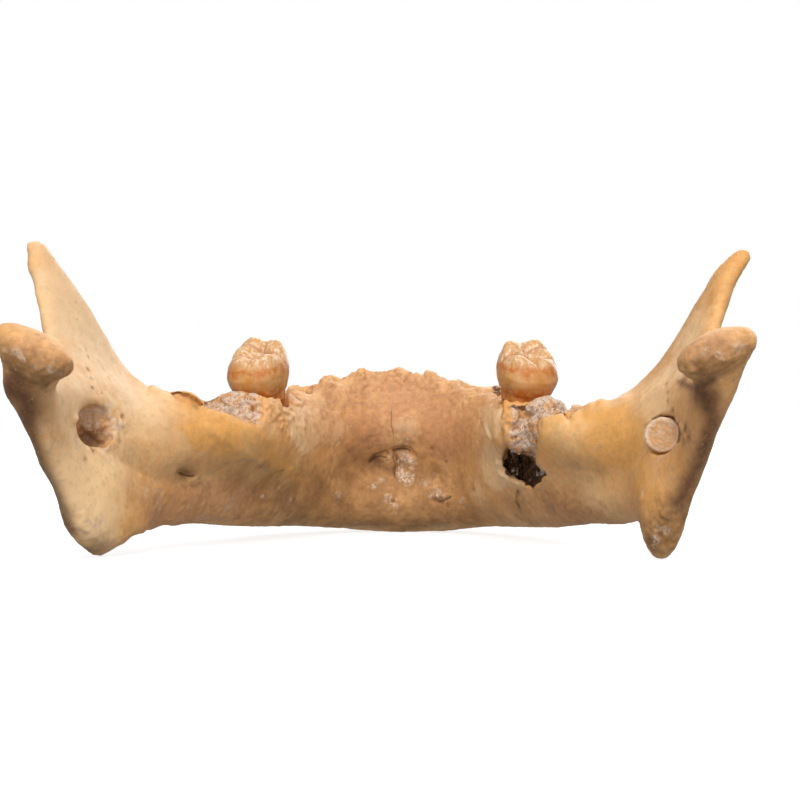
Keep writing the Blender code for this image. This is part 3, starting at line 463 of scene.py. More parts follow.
# Edges of crumbs, vessel holes and the mental foramen, as shares of their radius.
CRUMB_EDGE = (0.55, 1.05)
CRUMB_UNEVEN = 0.5
CRUMB_SHARES = (0.8, 0.7)
PIT_EDGE = (0.5, 1.3)
MENTAL_EDGE = (0.3, 1.3)

# The mental foramen on the outside of each half: place, radius, depth.
MENTAL_FORAMEN = (30.5, 17.0, 12.5)
MENTAL_RADIUS = 1.2
MENTAL_DEPTH = 1.5

# How many pixels the edges of patches wander, in the form and in the colours.
PATCH_WANDER = 3.0
EDGE_WANDER = 5.0

# The sockets in front of the molars: place and heading. The open crypt behind the first
# molar: place and radius. All are of the right side.
SOCKET_PLACES = (
    (2.5, 40.8, 86), (8.2, 39.2, 68), (13.9, 34.8, 48), (18.2, 27.0, 32), (20.6, 20.2, 24))
SOCKET_RADIUS = 2.6
CRYPT_PLACE = (30.5, -2.6, 4.4)

# What counts as inside a socket: how far a wall faces its middle, between which shares of
# the radius it ends, and the levels of its floor and mouth.
SOCKET_FACING = 0.15
SOCKET_EDGE = (0.8, 1.2)
SOCKET_FLOOR = (12.5, 14.5)
SOCKET_MOUTH = (21.5, 24.5)

# Swellings over the roots of the front teeth: out from the socket, up, width and height.
BULGE_OUT = (1.0, 3.0)
BULGE_HEIGHTS = (11.0, 20.0)
BULGE_WIDTH = 1.9
BULGE_RISE = 0.42
BULGE_FACING = -0.2

# Where little is smoothed: the rim, round the canal mouths, and the broken part. The share
# that a point moves elsewhere, and how much of it is held back there.
RIM_HEIGHTS = (14.0, 17.0)
RIM_HOLD = 0.75
CANAL_MOUTHS = ((93, 430), (664, 438))
CANAL_REACH = (4.5, 6.5)
BROKEN_PART = ((495, 395), (575, 395), (575, 425), (555, 495), (495, 495))
BROKEN_HOLD = 0.8
SMOOTHING = 0.5
HOLD = 0.9

# Painted shade in sockets and vessel holes: how dark it is, and how far it goes beyond a hole's
# edge.
HOLE_SHADE = 0.7
HOLE_SHADE_EDGE = 0.1

# How much of each colour layer the outer side has, and where that side and a cloud begin.
OUTER_SHARES = {
    "cream": 0.8, "ochre": 0.7, "light": 0.3, "rose": 0.7, "grey_and_shade": 0.5, "stain_and_shade": 0.3, "pale": 0.3}
OUTER_FACING = (-0.1, 0.4)
CLOUD_EDGE = (0.0, 0.5)

# The first molar's own frame, as in the CAD: neck, turn about the upright and lean back.
TOOTH_NECK = (22.3, 9.3, 25.8)
TOOTH_TURN = 21.0
TOOTH_LEAN = 14.0

# Grooves of the crown in the tooth's own frame, from over the chewing surface: half width,
# depth, and points towards the cheek and the front.
GROOVES = (
    (0.3, 0.26, ((0.3, -4.2), (0.1, -1), (-0.1, 1), (0.1, 3.6))),
    (0.3, 0.26, ((0, 0.9), (2.2, 1), (5.6, 0.9))),
    (0.28, 0.24, ((0.1, -1.4), (2.4, -2), (5.6, -2.3))),
    (0.3, 0.26, ((0, 0.2), (-2.2, 0.1), (-5.6, 0))),
)

# How the worn crown falls towards its back, and how much lower it is, left and right.
CROWN_TILT = 0.22
CROWN_DROP = {-1.0: 0.75, 1.0: 1.2}

# The hollow of the chewing surface: middle, depth and radius. The cusps round it.
BASIN_MIDDLE = (0.0, -0.3)
BASIN_DEPTH = 1.2
BASIN_RADIUS = 2.6
CUSP_PLACES = ((2.5, 2.6), (3.0, -0.5), (1.9, -3.4), (-2.6, 2.4), (-2.6, -2.3))
CUSP_RISE = 0.35
CUSP_RADIUS = 1.2

# Heights over the neck at which parts of the crown begin and are full.
FALL_HEIGHTS = (-0.5, 7.0)
BASIN_HEIGHTS = (5.0, 7.0)
GROOVE_HEIGHTS = (5.2, 6.8)
CUSP_HEIGHTS = (5.0, 7.5)
GROOVE_DARK_HEIGHTS = (4.0, 6.0)
TOP_HEIGHTS = (4.6, 6.2)

# The edge of the enamel: its wave round the tooth, its height and its softness. The root is
# thinner than the enamel, and a little rough.
NECK_WAVE = 0.35
NECK_HEIGHT = 0.25
ENAMEL_EDGE = (-0.35, 0.25)
ROOT_SINK = 0.28
ROOT_RISE = 0.03
TOOTH_RISE = 0.02

# Noises of the tooth, as on the bone, and how far grooves and the top's edge wander.
TOOTH_GRAINS = (1.6, 3)
GROOVE_GRAINS = ((1.8, 2), (1.8, 2, 5.0))
ROOT_GRAIN = (0.7, 2)
GROOVE_WANDER = 0.5
TOP_WANDER = 0.8

# Brown bands round the crown: share, height, how far it wanders, its noise and half width.
BELTS = ((1.0, 0.6, 0.6, (2.2, 3), 0.9), (0.85, 4.4, 0.9, (1.6, 3, 9.0), 0.8))

# The filling: width of a ring, how the rings wander, height of the rings and of its lumps,
# the dish in its face, and its rim.
RING_WIDTH = 0.62
RING_WANDER = 0.45
RING_GRAIN = (1.4, 3)
RING_RISE = 0.02
PLUG_LUMPS = ((0.12, (0.9, 3)), (0.05, (0.4, 2)))
DISH_RADIUS = 2.6
DISH_EDGE = (0.0, 1.2)
DISH_DEPTH = 0.10
RIM_EDGE = (2.0, 2.7)

# Noises in the materials: size, detail and roughness, the range of the noise that is used,
# and what it becomes where that isn't 0 to 1.
NOISES = {
    "bone clouds": (9.0, 4.0, 0.55, 0.35, 0.65),
    "speckle": (0.5, 5.0, 0.65, 0.40, 0.56, 0.15, 1.0),
    "mottle": (1.2, 12.0, 0.78, 0.30, 0.70, -0.20, 0.18),
    "specks": (0.42, 3.0, 0.5, 0.66, 0.74),
    "pore places": (4.0, 4.0, 0.55, 0.56, 0.72),
    "dark crumbs": (0.5, 6.0, 0.7, 0.50, 0.62),
    "sparkle": (0.3, 4.0, 0.55, 0.47, 0.53),
    "sponge clouds": (1.6, 4.0, 0.55, 0.46, 0.60),
    "crack edge": (0.25, 4.0, 0.55, 0.3, 0.7, -0.6, 0.6),
    "bone roughness": (1.8, 4.0, 0.55, 0.3, 0.7, 0.42, 0.60),
    "enamel clouds": (2.2, 6.0, 0.65, 0.38, 0.62),
    "neck": (0.9, 6.0, 0.55, 0.36, 0.52),
    "roots": (1.2, 4.0, 0.55, 0.35, 0.65),
    "enamel roughness": (0.8, 4.0, 0.55, 0.3, 0.7, 0.0, 0.12),
    "filling clouds": (1.1, 5.0, 0.55, 0.46, 0.60),
    "filling roughness": (0.8, 4.0, 0.55, 0.3, 0.7, 0.7, 0.9),
}
BROKEN_NOISE = (1.3, 8.0, 0.66)
CELL_NOISE = (0.45, 6.0, 0.7)
STREAK_NOISE = (0.6, 5.0, 0.6, (0.45, 0.45, 1.0))
ENAMEL_NOISE = (0.9, 6.0, 0.7, (1.6, 1.6, 0.6))
BONE_BUMP_NOISE = (0.3, 8.0, 0.72)
TOOTH_BUMP_NOISE = (0.5, 5.0)
PLUG_BUMP_NOISE = (0.3, 6.0)

# Ranges that a value is stretched from, and in four numbers also to. SPONGE_UNEVEN is one
# that it is stretched to.
NOISE_RANGE = (0.3, 0.7)
CALM = (0.15, 0.6, 1.0, 0.35)
STREAK_RANGE = (0.54, 0.74)
PORE_RANGE = (0.05, 0.16, 1.0, 0.0)
PORE_FADE = (0.1, 0.6, 1.0, 0.0)
CELL_RANGE = (0.52, 0.62)
SPONGE_UNEVEN = (-0.4, 0.4)
SPONGE_RANGE = (0.42, 0.58)
SPONGE_START = (0.0, 0.3)
CRACK_RANGE = (0.5, 1.6, 1.0, 0.0)
ENAMEL_RANGE = (0.48, 0.62)
ENAMEL_ROUGHNESS = (0.0, 1.0, 0.6, 0.24)

# Strengths of the marks in the colours, and how much rougher or glossier parts are.
PORE_SPACING = 0.9
STREAK_SHARE = 0.08
SPECK_SHARE = 0.35
PORE_SHARE = 0.3
CRACK_SHADE_SHARE = 0.85
NECK_SHARE = 0.95
GROOVE_SHARE = 0.55
RING_SHARE = 0.35
RIM_SHARE = 0.7
WORN_ROUGHNESS = 0.22
DEEP_GLOSS = -0.32

# The bump of each material: strength and depth. Its parts on the bone.
BONE_BUMP = (0.75, 0.16)
TOOTH_BUMP = (0.25, 0.06)
PLUG_BUMP = (0.5, 0.08)
BUMP_SHARES = {"grain": 0.8, "streaks": 0.2, "pores": -0.2, "cracks": -0.9, "cells": -1.8}

# The other values of the bone's and the teeth's shaders.
BONE_SHINE = {
    "Specular IOR Level": 0.32, "Subsurface Weight": 0.12,
    "Subsurface Radius": (1.0, 0.55, 0.3), "Subsurface Scale": 1.2 * MM}
TOOTH_SHINE = {
    "Specular IOR Level": 0.4, "Coat Weight": 0.18, "Coat Roughness": 0.12,
    "Subsurface Weight": 0.15, "Subsurface Radius": (1.0, 0.75, 0.5),
    "Subsurface Scale": 1.5 * MM}


def linear(colour):
    """An 8-bit sRGB colour as linear numbers with an alpha of one."""
    parts = [part / 255 for part in colour]
    parts = [part / 12.92 if part <= 0.04045 else ((part + 0.055) / 1.055) ** 2.4 for part in parts]
    return (*parts, 1.0)


def camera_axes():
    turn = Matrix.Rotation(math.radians(CAMERA_TURN), 3, "Z")
    return turn @ Matrix.Rotation(math.radians(90.0 + CAMERA_UP), 3, "X")


def photo_places(points):
    """Across and down in the photo of points in millimetres."""
    seen = (points - np.array(CAMERA_AT)) @ np.array(camera_axes())
    across = IMAGE / 2 - FOCAL * seen[:, 0] / seen[:, 2]
    down = IMAGE / 2 + FOCAL * seen[:, 1] / seen[:, 2]
    return across, down


def photo_ray(place):
    """The direction in which the photo's camera sees a photo point."""
    seen = Vector(((place[0] - IMAGE / 2) / FOCAL, (IMAGE / 2 - place[1]) / FOCAL, -1.0))
    return (camera_axes() @ seen).normalized()


def points_of(obj):
    """The points and the normals of an object's mesh, in millimetres."""
    count = len(obj.data.vertices)
    points = np.empty(count * 3)
    normals = np.empty(count * 3)
    obj.data.vertices.foreach_get("co", points)
    obj.data.vertices.foreach_get("normal", normals)
    return points.reshape(-1, 3) / MM, normals.reshape(-1, 3)


def set_points(obj, points):
    obj.data.vertices.foreach_set("co", (points * MM).ravel())
    obj.data.update()


def edges_of(obj):
    edges = np.empty(len(obj.data.edges) * 2, np.int64)
    obj.data.edges.foreach_get("vertices", edges)
    return edges.reshape(-1, 2)


def tree_of(obj):
    """A search tree of an object's faces, in millimetres."""
    points = [vertex.co / MM for vertex in obj.data.vertices]
    return BVHTree.FromPolygons(points, [face.vertices for face in obj.data.polygons])


def copy_of(node, name):
    """A new object with the mesh of a CAD node, its doubled points made one."""
    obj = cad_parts[node].copy()
    obj.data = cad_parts[node].data.copy()
    obj.name = name
    obj.parent = None
    obj.data.materials.clear()
    bpy.context.scene.collection.objects.link(obj)
    weld = obj.modifiers.new("Weld", "WELD")
    weld.merge_threshold = WELD * MM
    apply_modifiers(obj)
    return obj


def apply_modifiers(obj):
    graph = bpy.context.evaluated_depsgraph_get()
    shaped = bpy.data.meshes.new_from_object(obj.evaluated_get(graph))
    obj.modifiers.clear()
    obj.data = shaped


def even_skin(obj, grain):
    """One even skin of small squares over everything in the mesh."""
    skin = obj.modifiers.new("Skin", "REMESH")
    skin.mode = "VOXEL"
    skin.voxel_size = grain * MM
    apply_modifiers(obj)


def thin_out(obj, triangles):
    """Leaves the triangles that the form needs most."""
    have = sum(len(face.vertices) - 2 for face in obj.data.polygons)
    thinner = obj.modifiers.new("Thin", "DECIMATE")
    thinner.ratio = min(1.0, triangles / have)
    thinner.use_collapse_triangulate = True
    apply_modifiers(obj)


def relax(obj, rounds, share):
    """Moves each point towards the middle of its neighbours, by one share or by its own."""
    points, _ = points_of(obj)
    edges = edges_of(obj)
    ends = np.concatenate([edges, edges[:, ::-1]])
    count = len(points)
    neighbours = np.bincount(ends[:, 0], minlength=count)[:, None]
    share = np.broadcast_to(share, count)[:, None]
    for _ in range(rounds):
        total = np.stack(
            [np.bincount(ends[:, 0], points[ends[:, 1], axis], count) for axis in range(3)], 1)
        points += (total / neighbours - points) * share
    set_points(obj, points)


def lumps(points, size, octaves, shift=0.0):
    """Smooth noise, about -1 to 1, with lumps of a size in millimetres."""
    return np.array([
        noise.fractal(place, 1.0, 2.0, octaves) for place in ((points + shift) / size).tolist()])


def bell(gap, reach):
    """One where there is no gap, falling away over a reach."""
    return np.exp(-(gap / reach) ** 2)


def away_from(points, line):
    """The distance from each point to a line of straight pieces."""
    nearest = np.full(len(points), np.inf)
    starts = [np.array(place) for place in line]
    for start, end in zip(starts[:-1], starts[1:]):
        along = end - start
        share = np.clip((points - start) @ along / (along @ along), 0.0, 1.0)
        gap = np.linalg.norm(points - start - share[:, None] * along, axis=1)
        nearest = np.minimum(nearest, gap)
    return nearest


def inside(across, down, outline):
    """Which places lie inside an outline of photo points."""
    within = np.zeros(len(across), bool)
    for i, (x1, y1) in enumerate(outline):
        x2, y2 = outline[i - 1]
        crosses = (y1 > down) != (y2 > down)
        reach = x1 + (down - y1) * (x2 - x1) / ((y2 - y1) or 1.0)
        within ^= crosses & (across < reach)
    return within


def smooth_step(values, low, high):
    share = np.clip((values - low) / (high - low), 0.0, 1.0)
    return share * share * (3 - 2 * share)


class Ground:
    """The bone's surface as it is now, on which photo points are laid."""

    def __init__(self, obj):
        self.tree = tree_of(obj)

    def at(self, place, depth=0.0):
        """The place of the bone that shows at a photo point, or that lies deeper behind it."""
        start = Vector(CAMERA_AT)
        ray = photo_ray(place)
        hit = self.tree.ray_cast(start, ray)[0]
        if hit is None:
            hit = self.tree.find_nearest(start - ray * (start.y - OUTSIDE_DEPTH) / ray.y)[0]
        return np.array(hit) + depth * np.array(ray)

    def gap(self, place, points):
        """The distance of each point from what shows at a photo point."""
        return np.linalg.norm(points - self.at(place), axis=1)


def in_view(points, normals):
    """Which points face the photo's camera."""
    return ((np.array(CAMERA_AT) - points) * normals).sum(axis=1) > 0.0


def set_crest(obj, crest, span):
    """Raises or lowers a rim within a span of depth until its top edge is the photo's."""
    points, _ = points_of(obj)
    across, down = photo_places(points)
    places = np.array(crest)
    rim = (points[:, 1] > span[0]) & (points[:, 1] < span[1])
    rim &= (across > places[0, 0]) & (across < places[-1, 0])
    steps = np.arange(places[0, 0], places[-1, 0] + 1.0)
    slot = np.clip((across - steps[0]).astype(int), 0, len(steps) - 1)
    top = np.full(len(steps), np.inf)
    np.minimum.at(top, slot[rim], down[rim])
    filled = np.isfinite(top)
    top = np.interp(steps, steps[filled], top[filled])
    lift = top - np.interp(steps + 0.5, places[:, 0], places[:, 1])
    lift = np.convolve(np.pad(lift, 1, mode="edge"), CREST_SOFTENING, mode="valid")
    rise = np.interp(across, steps + 0.5, lift)
    below = down - np.interp(across, steps + 0.5, top)
    fade = 1.0 - smooth_step(below, 0.0, CREST_REACH + CREST_SPREAD * np.abs(rise))
    ends = np.minimum(across - places[0, 0], places[-1, 0] - across)
    fade *= smooth_step(ends, 0.0, CREST_ENDS)
    scale = (points[:, 1] - CAMERA_AT[1]) / FOCAL
    points[:, 2] += np.where(rim, rise * fade * scale, 0.0)
    set_points(obj, points)


def sink(obj, outline, depth, ramp=(0.0, 1.0), whole=False):
    """Pushes a wall's face, or the whole wall, inside an outline away from the camera."""
    points, normals = points_of(obj)
    across, down = photo_places(points)
    chosen = inside(across, down, outline) & (in_view(points, normals) | whole)
    nearest = points[chosen, 1].min()
    chosen &= points[:, 1] < nearest + WALL_REACH
    away = points - np.array(CAMERA_AT)
    away /= np.linalg.norm(away, axis=1)[:, None]
    push = depth * smooth_step(across, *ramp) * chosen
    set_points(obj, points + push[:, None] * away)


def shift_outline(obj):
    """Moves parts of the outline sideways and up, as seen by the photo's camera."""
    points, _ = points_of(obj)
    across, down = photo_places(points)
    axes = np.array(camera_axes())
    scale = (points[:, 1] - CAMERA_AT[1]) / FOCAL
    for x, y, radius, right, up in SHIFTS:
        near = np.exp(-((across - x) ** 2 + (down - y) ** 2) / radius ** 2) * scale
        points += near[:, None] * (right * axes[:, 0] + up * axes[:, 1])
    set_points(obj, points)


def swell(obj, ground):
    """Broad, low swellings and hollows."""
    points, normals = points_of(obj)
    height = np.zeros(len(points))
    for *place, radius, rise in SWELLS:
        height += rise * bell(ground.gap(place, points), radius)
    set_points(obj, points + normals * height[:, None])


def strut(start, end):
    """A thin tube between two places."""
    along = Vector(end) - Vector(start)
    bpy.ops.mesh.primitive_cylinder_add(
        vertices=STRUT_SIDES, radius=STRUT_RADIUS * MM, depth=along.length * MM,
        location=(Vector(start) + Vector(end)) / 2 * MM)
    made = bpy.context.object
    made.rotation_mode = "QUATERNION"
    made.rotation_quaternion = along.to_track_quat("Z", "Y")
    return made


def sponge(centre, radii):
    """A lump of bone, to be made one with the rest."""
    bpy.ops.mesh.primitive_ico_sphere_add(
        subdivisions=SPONGE_FINENESS, radius=1.0, location=Vector(centre) * MM,
        scale=Vector(radii) * MM)
    return bpy.context.object


def join(obj, others):
    """Makes other objects part of one."""
    bpy.ops.object.select_all(action="DESELECT")
    for piece in (obj, *others):
        piece.select_set(True)
    bpy.context.view_layer.objects.active = obj
    bpy.ops.object.join()


def crisp_places(points, ground):
    """How much each point may be smoothed: little near cuts and sockets, fully elsewhere."""
    rim = smooth_step(points[:, 2], *RIM_HEIGHTS) * (points[:, 1] > RIM_SPAN[0])
    mouths = np.min([ground.gap(place, points) for place in CANAL_MOUTHS], axis=0)
    near = 1.0 - smooth_step(mouths, *CANAL_REACH)
    broken = inside(*photo_places(points), BROKEN_PART)
    held = np.maximum(np.maximum(rim * RIM_HOLD, near), broken * BROKEN_HOLD)
    return SMOOTHING * (1.0 - HOLD * held)


def root_bulges(points, normals):
    """Low upright swellings over the front sockets, on the lip side."""
    height = np.zeros(len(points))
    level = smooth_step(points[:, 2], *BULGE_HEIGHTS)
    for x, y, heading in SOCKET_PLACES:
        angle = math.radians(heading)
        for side in (1.0, -1.0):
            out = np.array([side * math.cos(angle), math.sin(angle)])
            away = points[:, :2] - np.array([side * x, y])
            aside = away @ np.array([-out[1], out[0]])
            outward = smooth_step(away @ out, *BULGE_OUT)
            height += BULGE_RISE * outward * level * bell(aside, BULGE_WIDTH)
    return height * (normals[:, 1] > BULGE_FACING)


def dent(gap, radius, edge):
    """One within a radius, falling to nothing between two shares of it."""
    return 1.0 - smooth_step(gap, radius * edge[0], radius * edge[1])


def relief(obj, ground):
    """The fine forms of the bone, laid on where the photo has them."""
    points, normals = points_of(obj)
    facing = in_view(points, normals)
    grain = lumps(points, *FINE_GRAIN)
    coarse = lumps(points, *COARSE_GRAIN)
    broad, small, fine = GRAIN_RISES
    height = broad * lumps(points, *BROAD_GRAIN) + small * lumps(points, *SMALL_GRAIN) + fine * grain
    height += root_bulges(points, normals)
    crest = smooth_step(points[:, 2], *CREST_HEIGHTS) * smooth_step(points[:, 1], *CREST_DEPTHS)
    rough = CREST_ROUGH * crest + SOCKET_ROUGH * socket_depths(points, normals)
    height += rough * (grain + coarse)
    worn = WORN_SHARES[0] * grain + WORN_SHARES[1] * coarse
    for *place, radius, rise in ROUGH:
        height += WORN_RISE * rise * bell(ground.gap(place, points), radius) * worn
    low = (1.0 - smooth_step(points[:, 2], *FIBRE_HEIGHTS)) * facing
    height += FIBRE_RISE * low * lumps(points * FIBRE_STRETCH, *FIBRE_GRAIN)
    flat, uneven = CRUMB_SHARES
    for *place, radius, rise in CRUMBS:
        gap = ground.gap(place, points) * (1.0 + CRUMB_UNEVEN * coarse)
        height += rise * dent(gap, radius, CRUMB_EDGE) * (flat + uneven * grain)
    across, down = photo_places(points)
    across = across + PATCH_WANDER * lumps(points, *PATCH_GRAIN)
    for _, _, rise, outline in PATCHES:
        height += rise * (inside(across, down, outline) & facing)
    for half_width, depth, line in LINES:
        gap = away_from(points, [ground.at(place) for place in line])
        height -= depth * bell(gap, half_width) * facing
    for *place, radius, depth in PITS:
        height -= depth * dent(ground.gap(place, points), radius, PIT_EDGE)
    x, y, z = MENTAL_FORAMEN
    for side in (1.0, -1.0):
        mouth = ground.tree.find_nearest(Vector((side * x, y, z)))[0]
        gap = np.linalg.norm(points - np.array(mouth), axis=1)
        height -= MENTAL_DEPTH * dent(gap, MENTAL_RADIUS, MENTAL_EDGE)
    set_points(obj, points + normals * height[:, None])


def crack_traces(places):
    """The signed gap to the nearest crack in half widths, and how strong that crack and its painted
    shade are.
    """
    gap = np.full(len(places), CRACK_FAR)
    strength = np.zeros(len(places))
    for half_width, depth, line in CRACKS:
        last = len(line) - 2
        for i, start in enumerate(line[:-1]):
            along = np.subtract(line[i + 1], start)
            offset = places - start
            run = offset @ along / (along @ along)
            size = np.linalg.norm(offset - np.clip(run, 0.0, 1.0)[:, None] * along, axis=1)
            side = np.sign(offset[:, 0] * along[1] - offset[:, 1] * along[0])
            closer = size / half_width < np.abs(gap)
            gap = np.where(closer, side * size / half_width, gap)
            past_end = ((run < 0.0) & (i == 0)) | ((run > 1.0) & (i == last))
            strength = np.where(closer, depth * ~past_end, strength)
    return gap, strength


def socket_depths(points, normals):
    """How deep in an empty socket or crypt each point lies, 0 to 1."""
    deep = np.zeros(len(points))
    side = np.sign(points[:, 0])
    for x, y, radius in [(x, y, SOCKET_RADIUS) for x, y, _ in SOCKET_PLACES] + [CRYPT_PLACE]:
        away = np.stack([points[:, 0] - side * x, points[:, 1] - y], 1)
        gap = np.hypot(*away.T)
        inward = (away * normals[:, :2]).sum(axis=1) < SOCKET_FACING * gap
        deep = np.maximum(deep, inward * dent(gap, radius, SOCKET_EDGE))
    mouth = 1.0 - smooth_step(points[:, 2], *SOCKET_MOUTH)
    return deep * (smooth_step(points[:, 2], *SOCKET_FLOOR) * mouth)


def summed_lumps(points, grains):
    """Several noises, each with its share, as one."""
    return sum(share * lumps(points, *grain) for share, grain in grains)


def outer_clouds(points, normals, layer):
    """Clouds of a colour layer on the sides that the photo doesn't show."""
    hidden = smooth_step(normals[:, 1], *OUTER_FACING)
    place = points + CLOUD_SHIFT * (1 + list(SHADES).index(layer))
    clouds = summed_lumps(place, CLOUD_GRAINS)
    return OUTER_SHARES[layer] * hidden * smooth_step(clouds, *CLOUD_EDGE)


def paint(obj, ground):
    """One number for each colour layer and point of the bone."""
    points, normals = points_of(obj)
    across, down = photo_places(points)
    places = np.stack([across, down], 1)
    facing = in_view(points, normals)
    crack_gap, cracked = crack_traces(places)
    store(obj, "crack_gap", crack_gap)
    store(obj, "cracked", cracked * facing)
    # Painted shade in the sockets, the crypt and vessel holes, laid into the dark brown layer.
    dark = HOLE_SHADE * socket_depths(points, normals)
    for *place, radius, _ in PITS:
        dark = np.maximum(dark, HOLE_SHADE * bell(ground.gap(place, points), radius + HOLE_SHADE_EDGE))
    wander = 1.0 + summed_lumps(points, SPOT_GRAINS)
    ragged = [
        straight + EDGE_WANDER * lumps(points, *grain)
        for straight, grain in zip((across, down), EDGE_GRAINS)]
    for layer, spots in SHADES.items():
        clear = np.ones(len(points))
        for *place, radius, strength in spots:
            clear *= 1.0 - strength * bell(ground.gap(place, points) * wander, radius)
        for name, strength, _, outline in PATCHES:
            if name == layer:
                clear *= 1.0 - strength * (inside(*ragged, outline) & facing)
        for name, strength, half_width, line in BANDS:
            if name == layer:
                clear *= 1.0 - strength * bell(away_from(places, line), half_width) * facing
        clear *= 1.0 - outer_clouds(points, normals, layer)
        if layer == "stain_and_shade":
            clear *= 1.0 - dark
        store(obj, layer, 1.0 - clear)
    near = (points[:, 1] - ground.at(HOLE_MIDDLE)[1] < WALL_REACH) & facing
    store(obj, "deep", (inside(across, down, HOLE) & near).astype(float))
    right = inside(across, down, RIGHT_BREAK) * smooth_step(across, *RIGHT_SPONGE_EDGE)
    left = inside(across, down, LEFT_BREAK) * smooth_step(across, *LEFT_SPONGE_EDGE)
    store(obj, "sponge", np.maximum(right, left) * near)
    # Painted highlights on glossy crumbs in the hole.
    shine = np.zeros(len(points))
    for x, y, radius in GLINTS:
        shine = np.maximum(shine, near * (np.hypot(across - x, down - y) < radius))
    store(obj, "glint", shine)


def store(obj, name, values):
    """Keeps one number for each point, for the materials."""
    layer = obj.data.attributes.new(name, "FLOAT", "POINT")
    layer.data.foreach_set("value", values.astype(np.float32))


def make_bone():
    """The bone: an even skin over the CAD form, with its broken edges and worn ground."""
    bone = copy_of("mandible", "bone")
    ground = Ground(bone)
    join(bone, [sponge(ground.at(place, depth), radii) for place, depth, radii in SPONGES])
    even_skin(bone, FIRST_GRAIN)
    ground = Ground(bone)
    relax(bone, FIRST_ROUNDS, crisp_places(points_of(bone)[0], ground))
    swell(bone, ground)
    shift_outline(bone)
    set_crest(bone, CREST, RIM_SPAN)
    set_crest(bone, RIGHT_NEAR_WALL, NEAR_SPAN)
    set_crest(bone, LEFT_NEAR_WALL, NEAR_SPAN)
    ground = Ground(bone)
    struts = [strut(ground.at(start, depth), ground.at(end, depth)) for start, end, depth in STRUTS]
    sink(bone, HOLE, HOLE_DEPTH)
    join(bone, struts)
    even_skin(bone, BONE_GRAIN)
    relax(bone, *BONE_SMOOTHING)
    sink(bone, RIGHT_BREAK, BREAK_DEPTH, RIGHT_BREAK_RAMP, whole=True)
    sink(bone, LEFT_BREAK, BREAK_DEPTH, LEFT_BREAK_RAMP, whole=True)
    sink(bone, LEFT_SLIT, SLIT_DEPTH)
    relief(bone, ground)
    thin_out(bone, BONE_TRIANGLES)
    paint(bone, ground)
    return bone


def tooth_place(side):
    """From the tooth's own frame to the shared one, in millimetres."""
    turn = Matrix.Rotation(math.radians(TOOTH_TURN), 4, "Z")
    lean = Matrix.Rotation(math.radians(TOOTH_LEAN), 4, "X")
    return Matrix.Diagonal((side, 1.0, 1.0, 1.0)) @ Matrix.Translation(TOOTH_NECK) @ turn @ lean


def own_places(points, side):
    """Points of a tooth in its own frame."""
    back = np.array(tooth_place(side).inverted())
    return points @ back[:3, :3].T + back[:3, 3]


def enamel_share(own):
    """One on the enamel and none on the roots, with a wavy edge between them."""
    wave = NECK_WAVE * np.cos(2 * np.arctan2(own[:, 1], own[:, 0])) + NECK_HEIGHT
    return smooth_step(own[:, 2] - wave, *ENAMEL_EDGE)


def shape_crown(points, own, side):
    """Lowers the worn crown towards its back and hollows its chewing surface."""
    fall = CROWN_TILT * own[:, 1] - CROWN_DROP[side]
    x, y = BASIN_MIDDLE
    basin = BASIN_DEPTH * bell(np.hypot(own[:, 0] - x, own[:, 1] - y), BASIN_RADIUS)
    drop = smooth_step(own[:, 2], *FALL_HEIGHTS) * fall
    drop -= smooth_step(own[:, 2], *BASIN_HEIGHTS) * basin
    return points + np.array(tooth_place(side))[:3, 2] * drop[:, None]


def make_tooth(node, side):
    """A molar with rounded cusps and grooves over its enamel, and a duller neck and roots."""
    tooth = copy_of(node, node.replace("molar", "tooth"))
    even_skin(tooth, TOOTH_GRAIN)
    relax(tooth, *TOOTH_SMOOTHING)
    points, normals = points_of(tooth)
    own = own_places(points, side)
    height = TOOTH_RISE * lumps(points, *TOOTH_GRAINS)
    points = shape_crown(points, own, side)
    wander = np.stack([lumps(points, *grain) for grain in GROOVE_GRAINS], 1)
    up = smooth_step(own[:, 2], *GROOVE_HEIGHTS)
    for half_width, depth, line in GROOVES:
        gap = away_from(own[:, :2] + GROOVE_WANDER * wander, line)
        height -= depth * up * bell(gap, half_width)
    for x, y in CUSP_PLACES:
        gap = np.hypot(own[:, 0] - x, own[:, 1] - y)
        height += CUSP_RISE * smooth_step(own[:, 2], *CUSP_HEIGHTS) * bell(gap, CUSP_RADIUS)
    root = 1.0 - enamel_share(own)
    height -= ROOT_SINK * root
    height += ROOT_RISE * root * lumps(points, *ROOT_GRAIN)
    set_points(tooth, points + normals * height[:, None])
    thin_out(tooth, TOOTH_TRIANGLES)
    paint_tooth(tooth, side)
    return tooth


def paint_tooth(tooth, side):
    """Where the enamel, its brown bands, its top and its grooves are."""
    points, _ = points_of(tooth)
    own = own_places(points, side)
    store(tooth, "enamel", enamel_share(own))
    bands = [
        share * bell(own[:, 2] - height - wander * lumps(points, *grain), half_width)
        for share, height, wander, grain, half_width in BELTS]
    store(tooth, "band", np.max(bands, axis=0))
    top = own[:, 2] + TOP_WANDER * lumps(points, *TOOTH_GRAINS)
    store(tooth, "crown_top", smooth_step(top, *TOP_HEIGHTS))
    groove = np.zeros(len(points))
    for half_width, _, line in GROOVES:
        groove = np.maximum(groove, bell(away_from(own[:, :2], line), half_width))
    store(tooth, "groove", groove * smooth_step(own[:, 2], *GROOVE_DARK_HEIGHTS))


def ring_waves(points, out):
    """The rings of the filling as a wave, by the distance from its middle."""
    return np.sin((out + RING_WANDER * lumps(points, *RING_GRAIN)) * 2 * math.pi / RING_WIDTH)


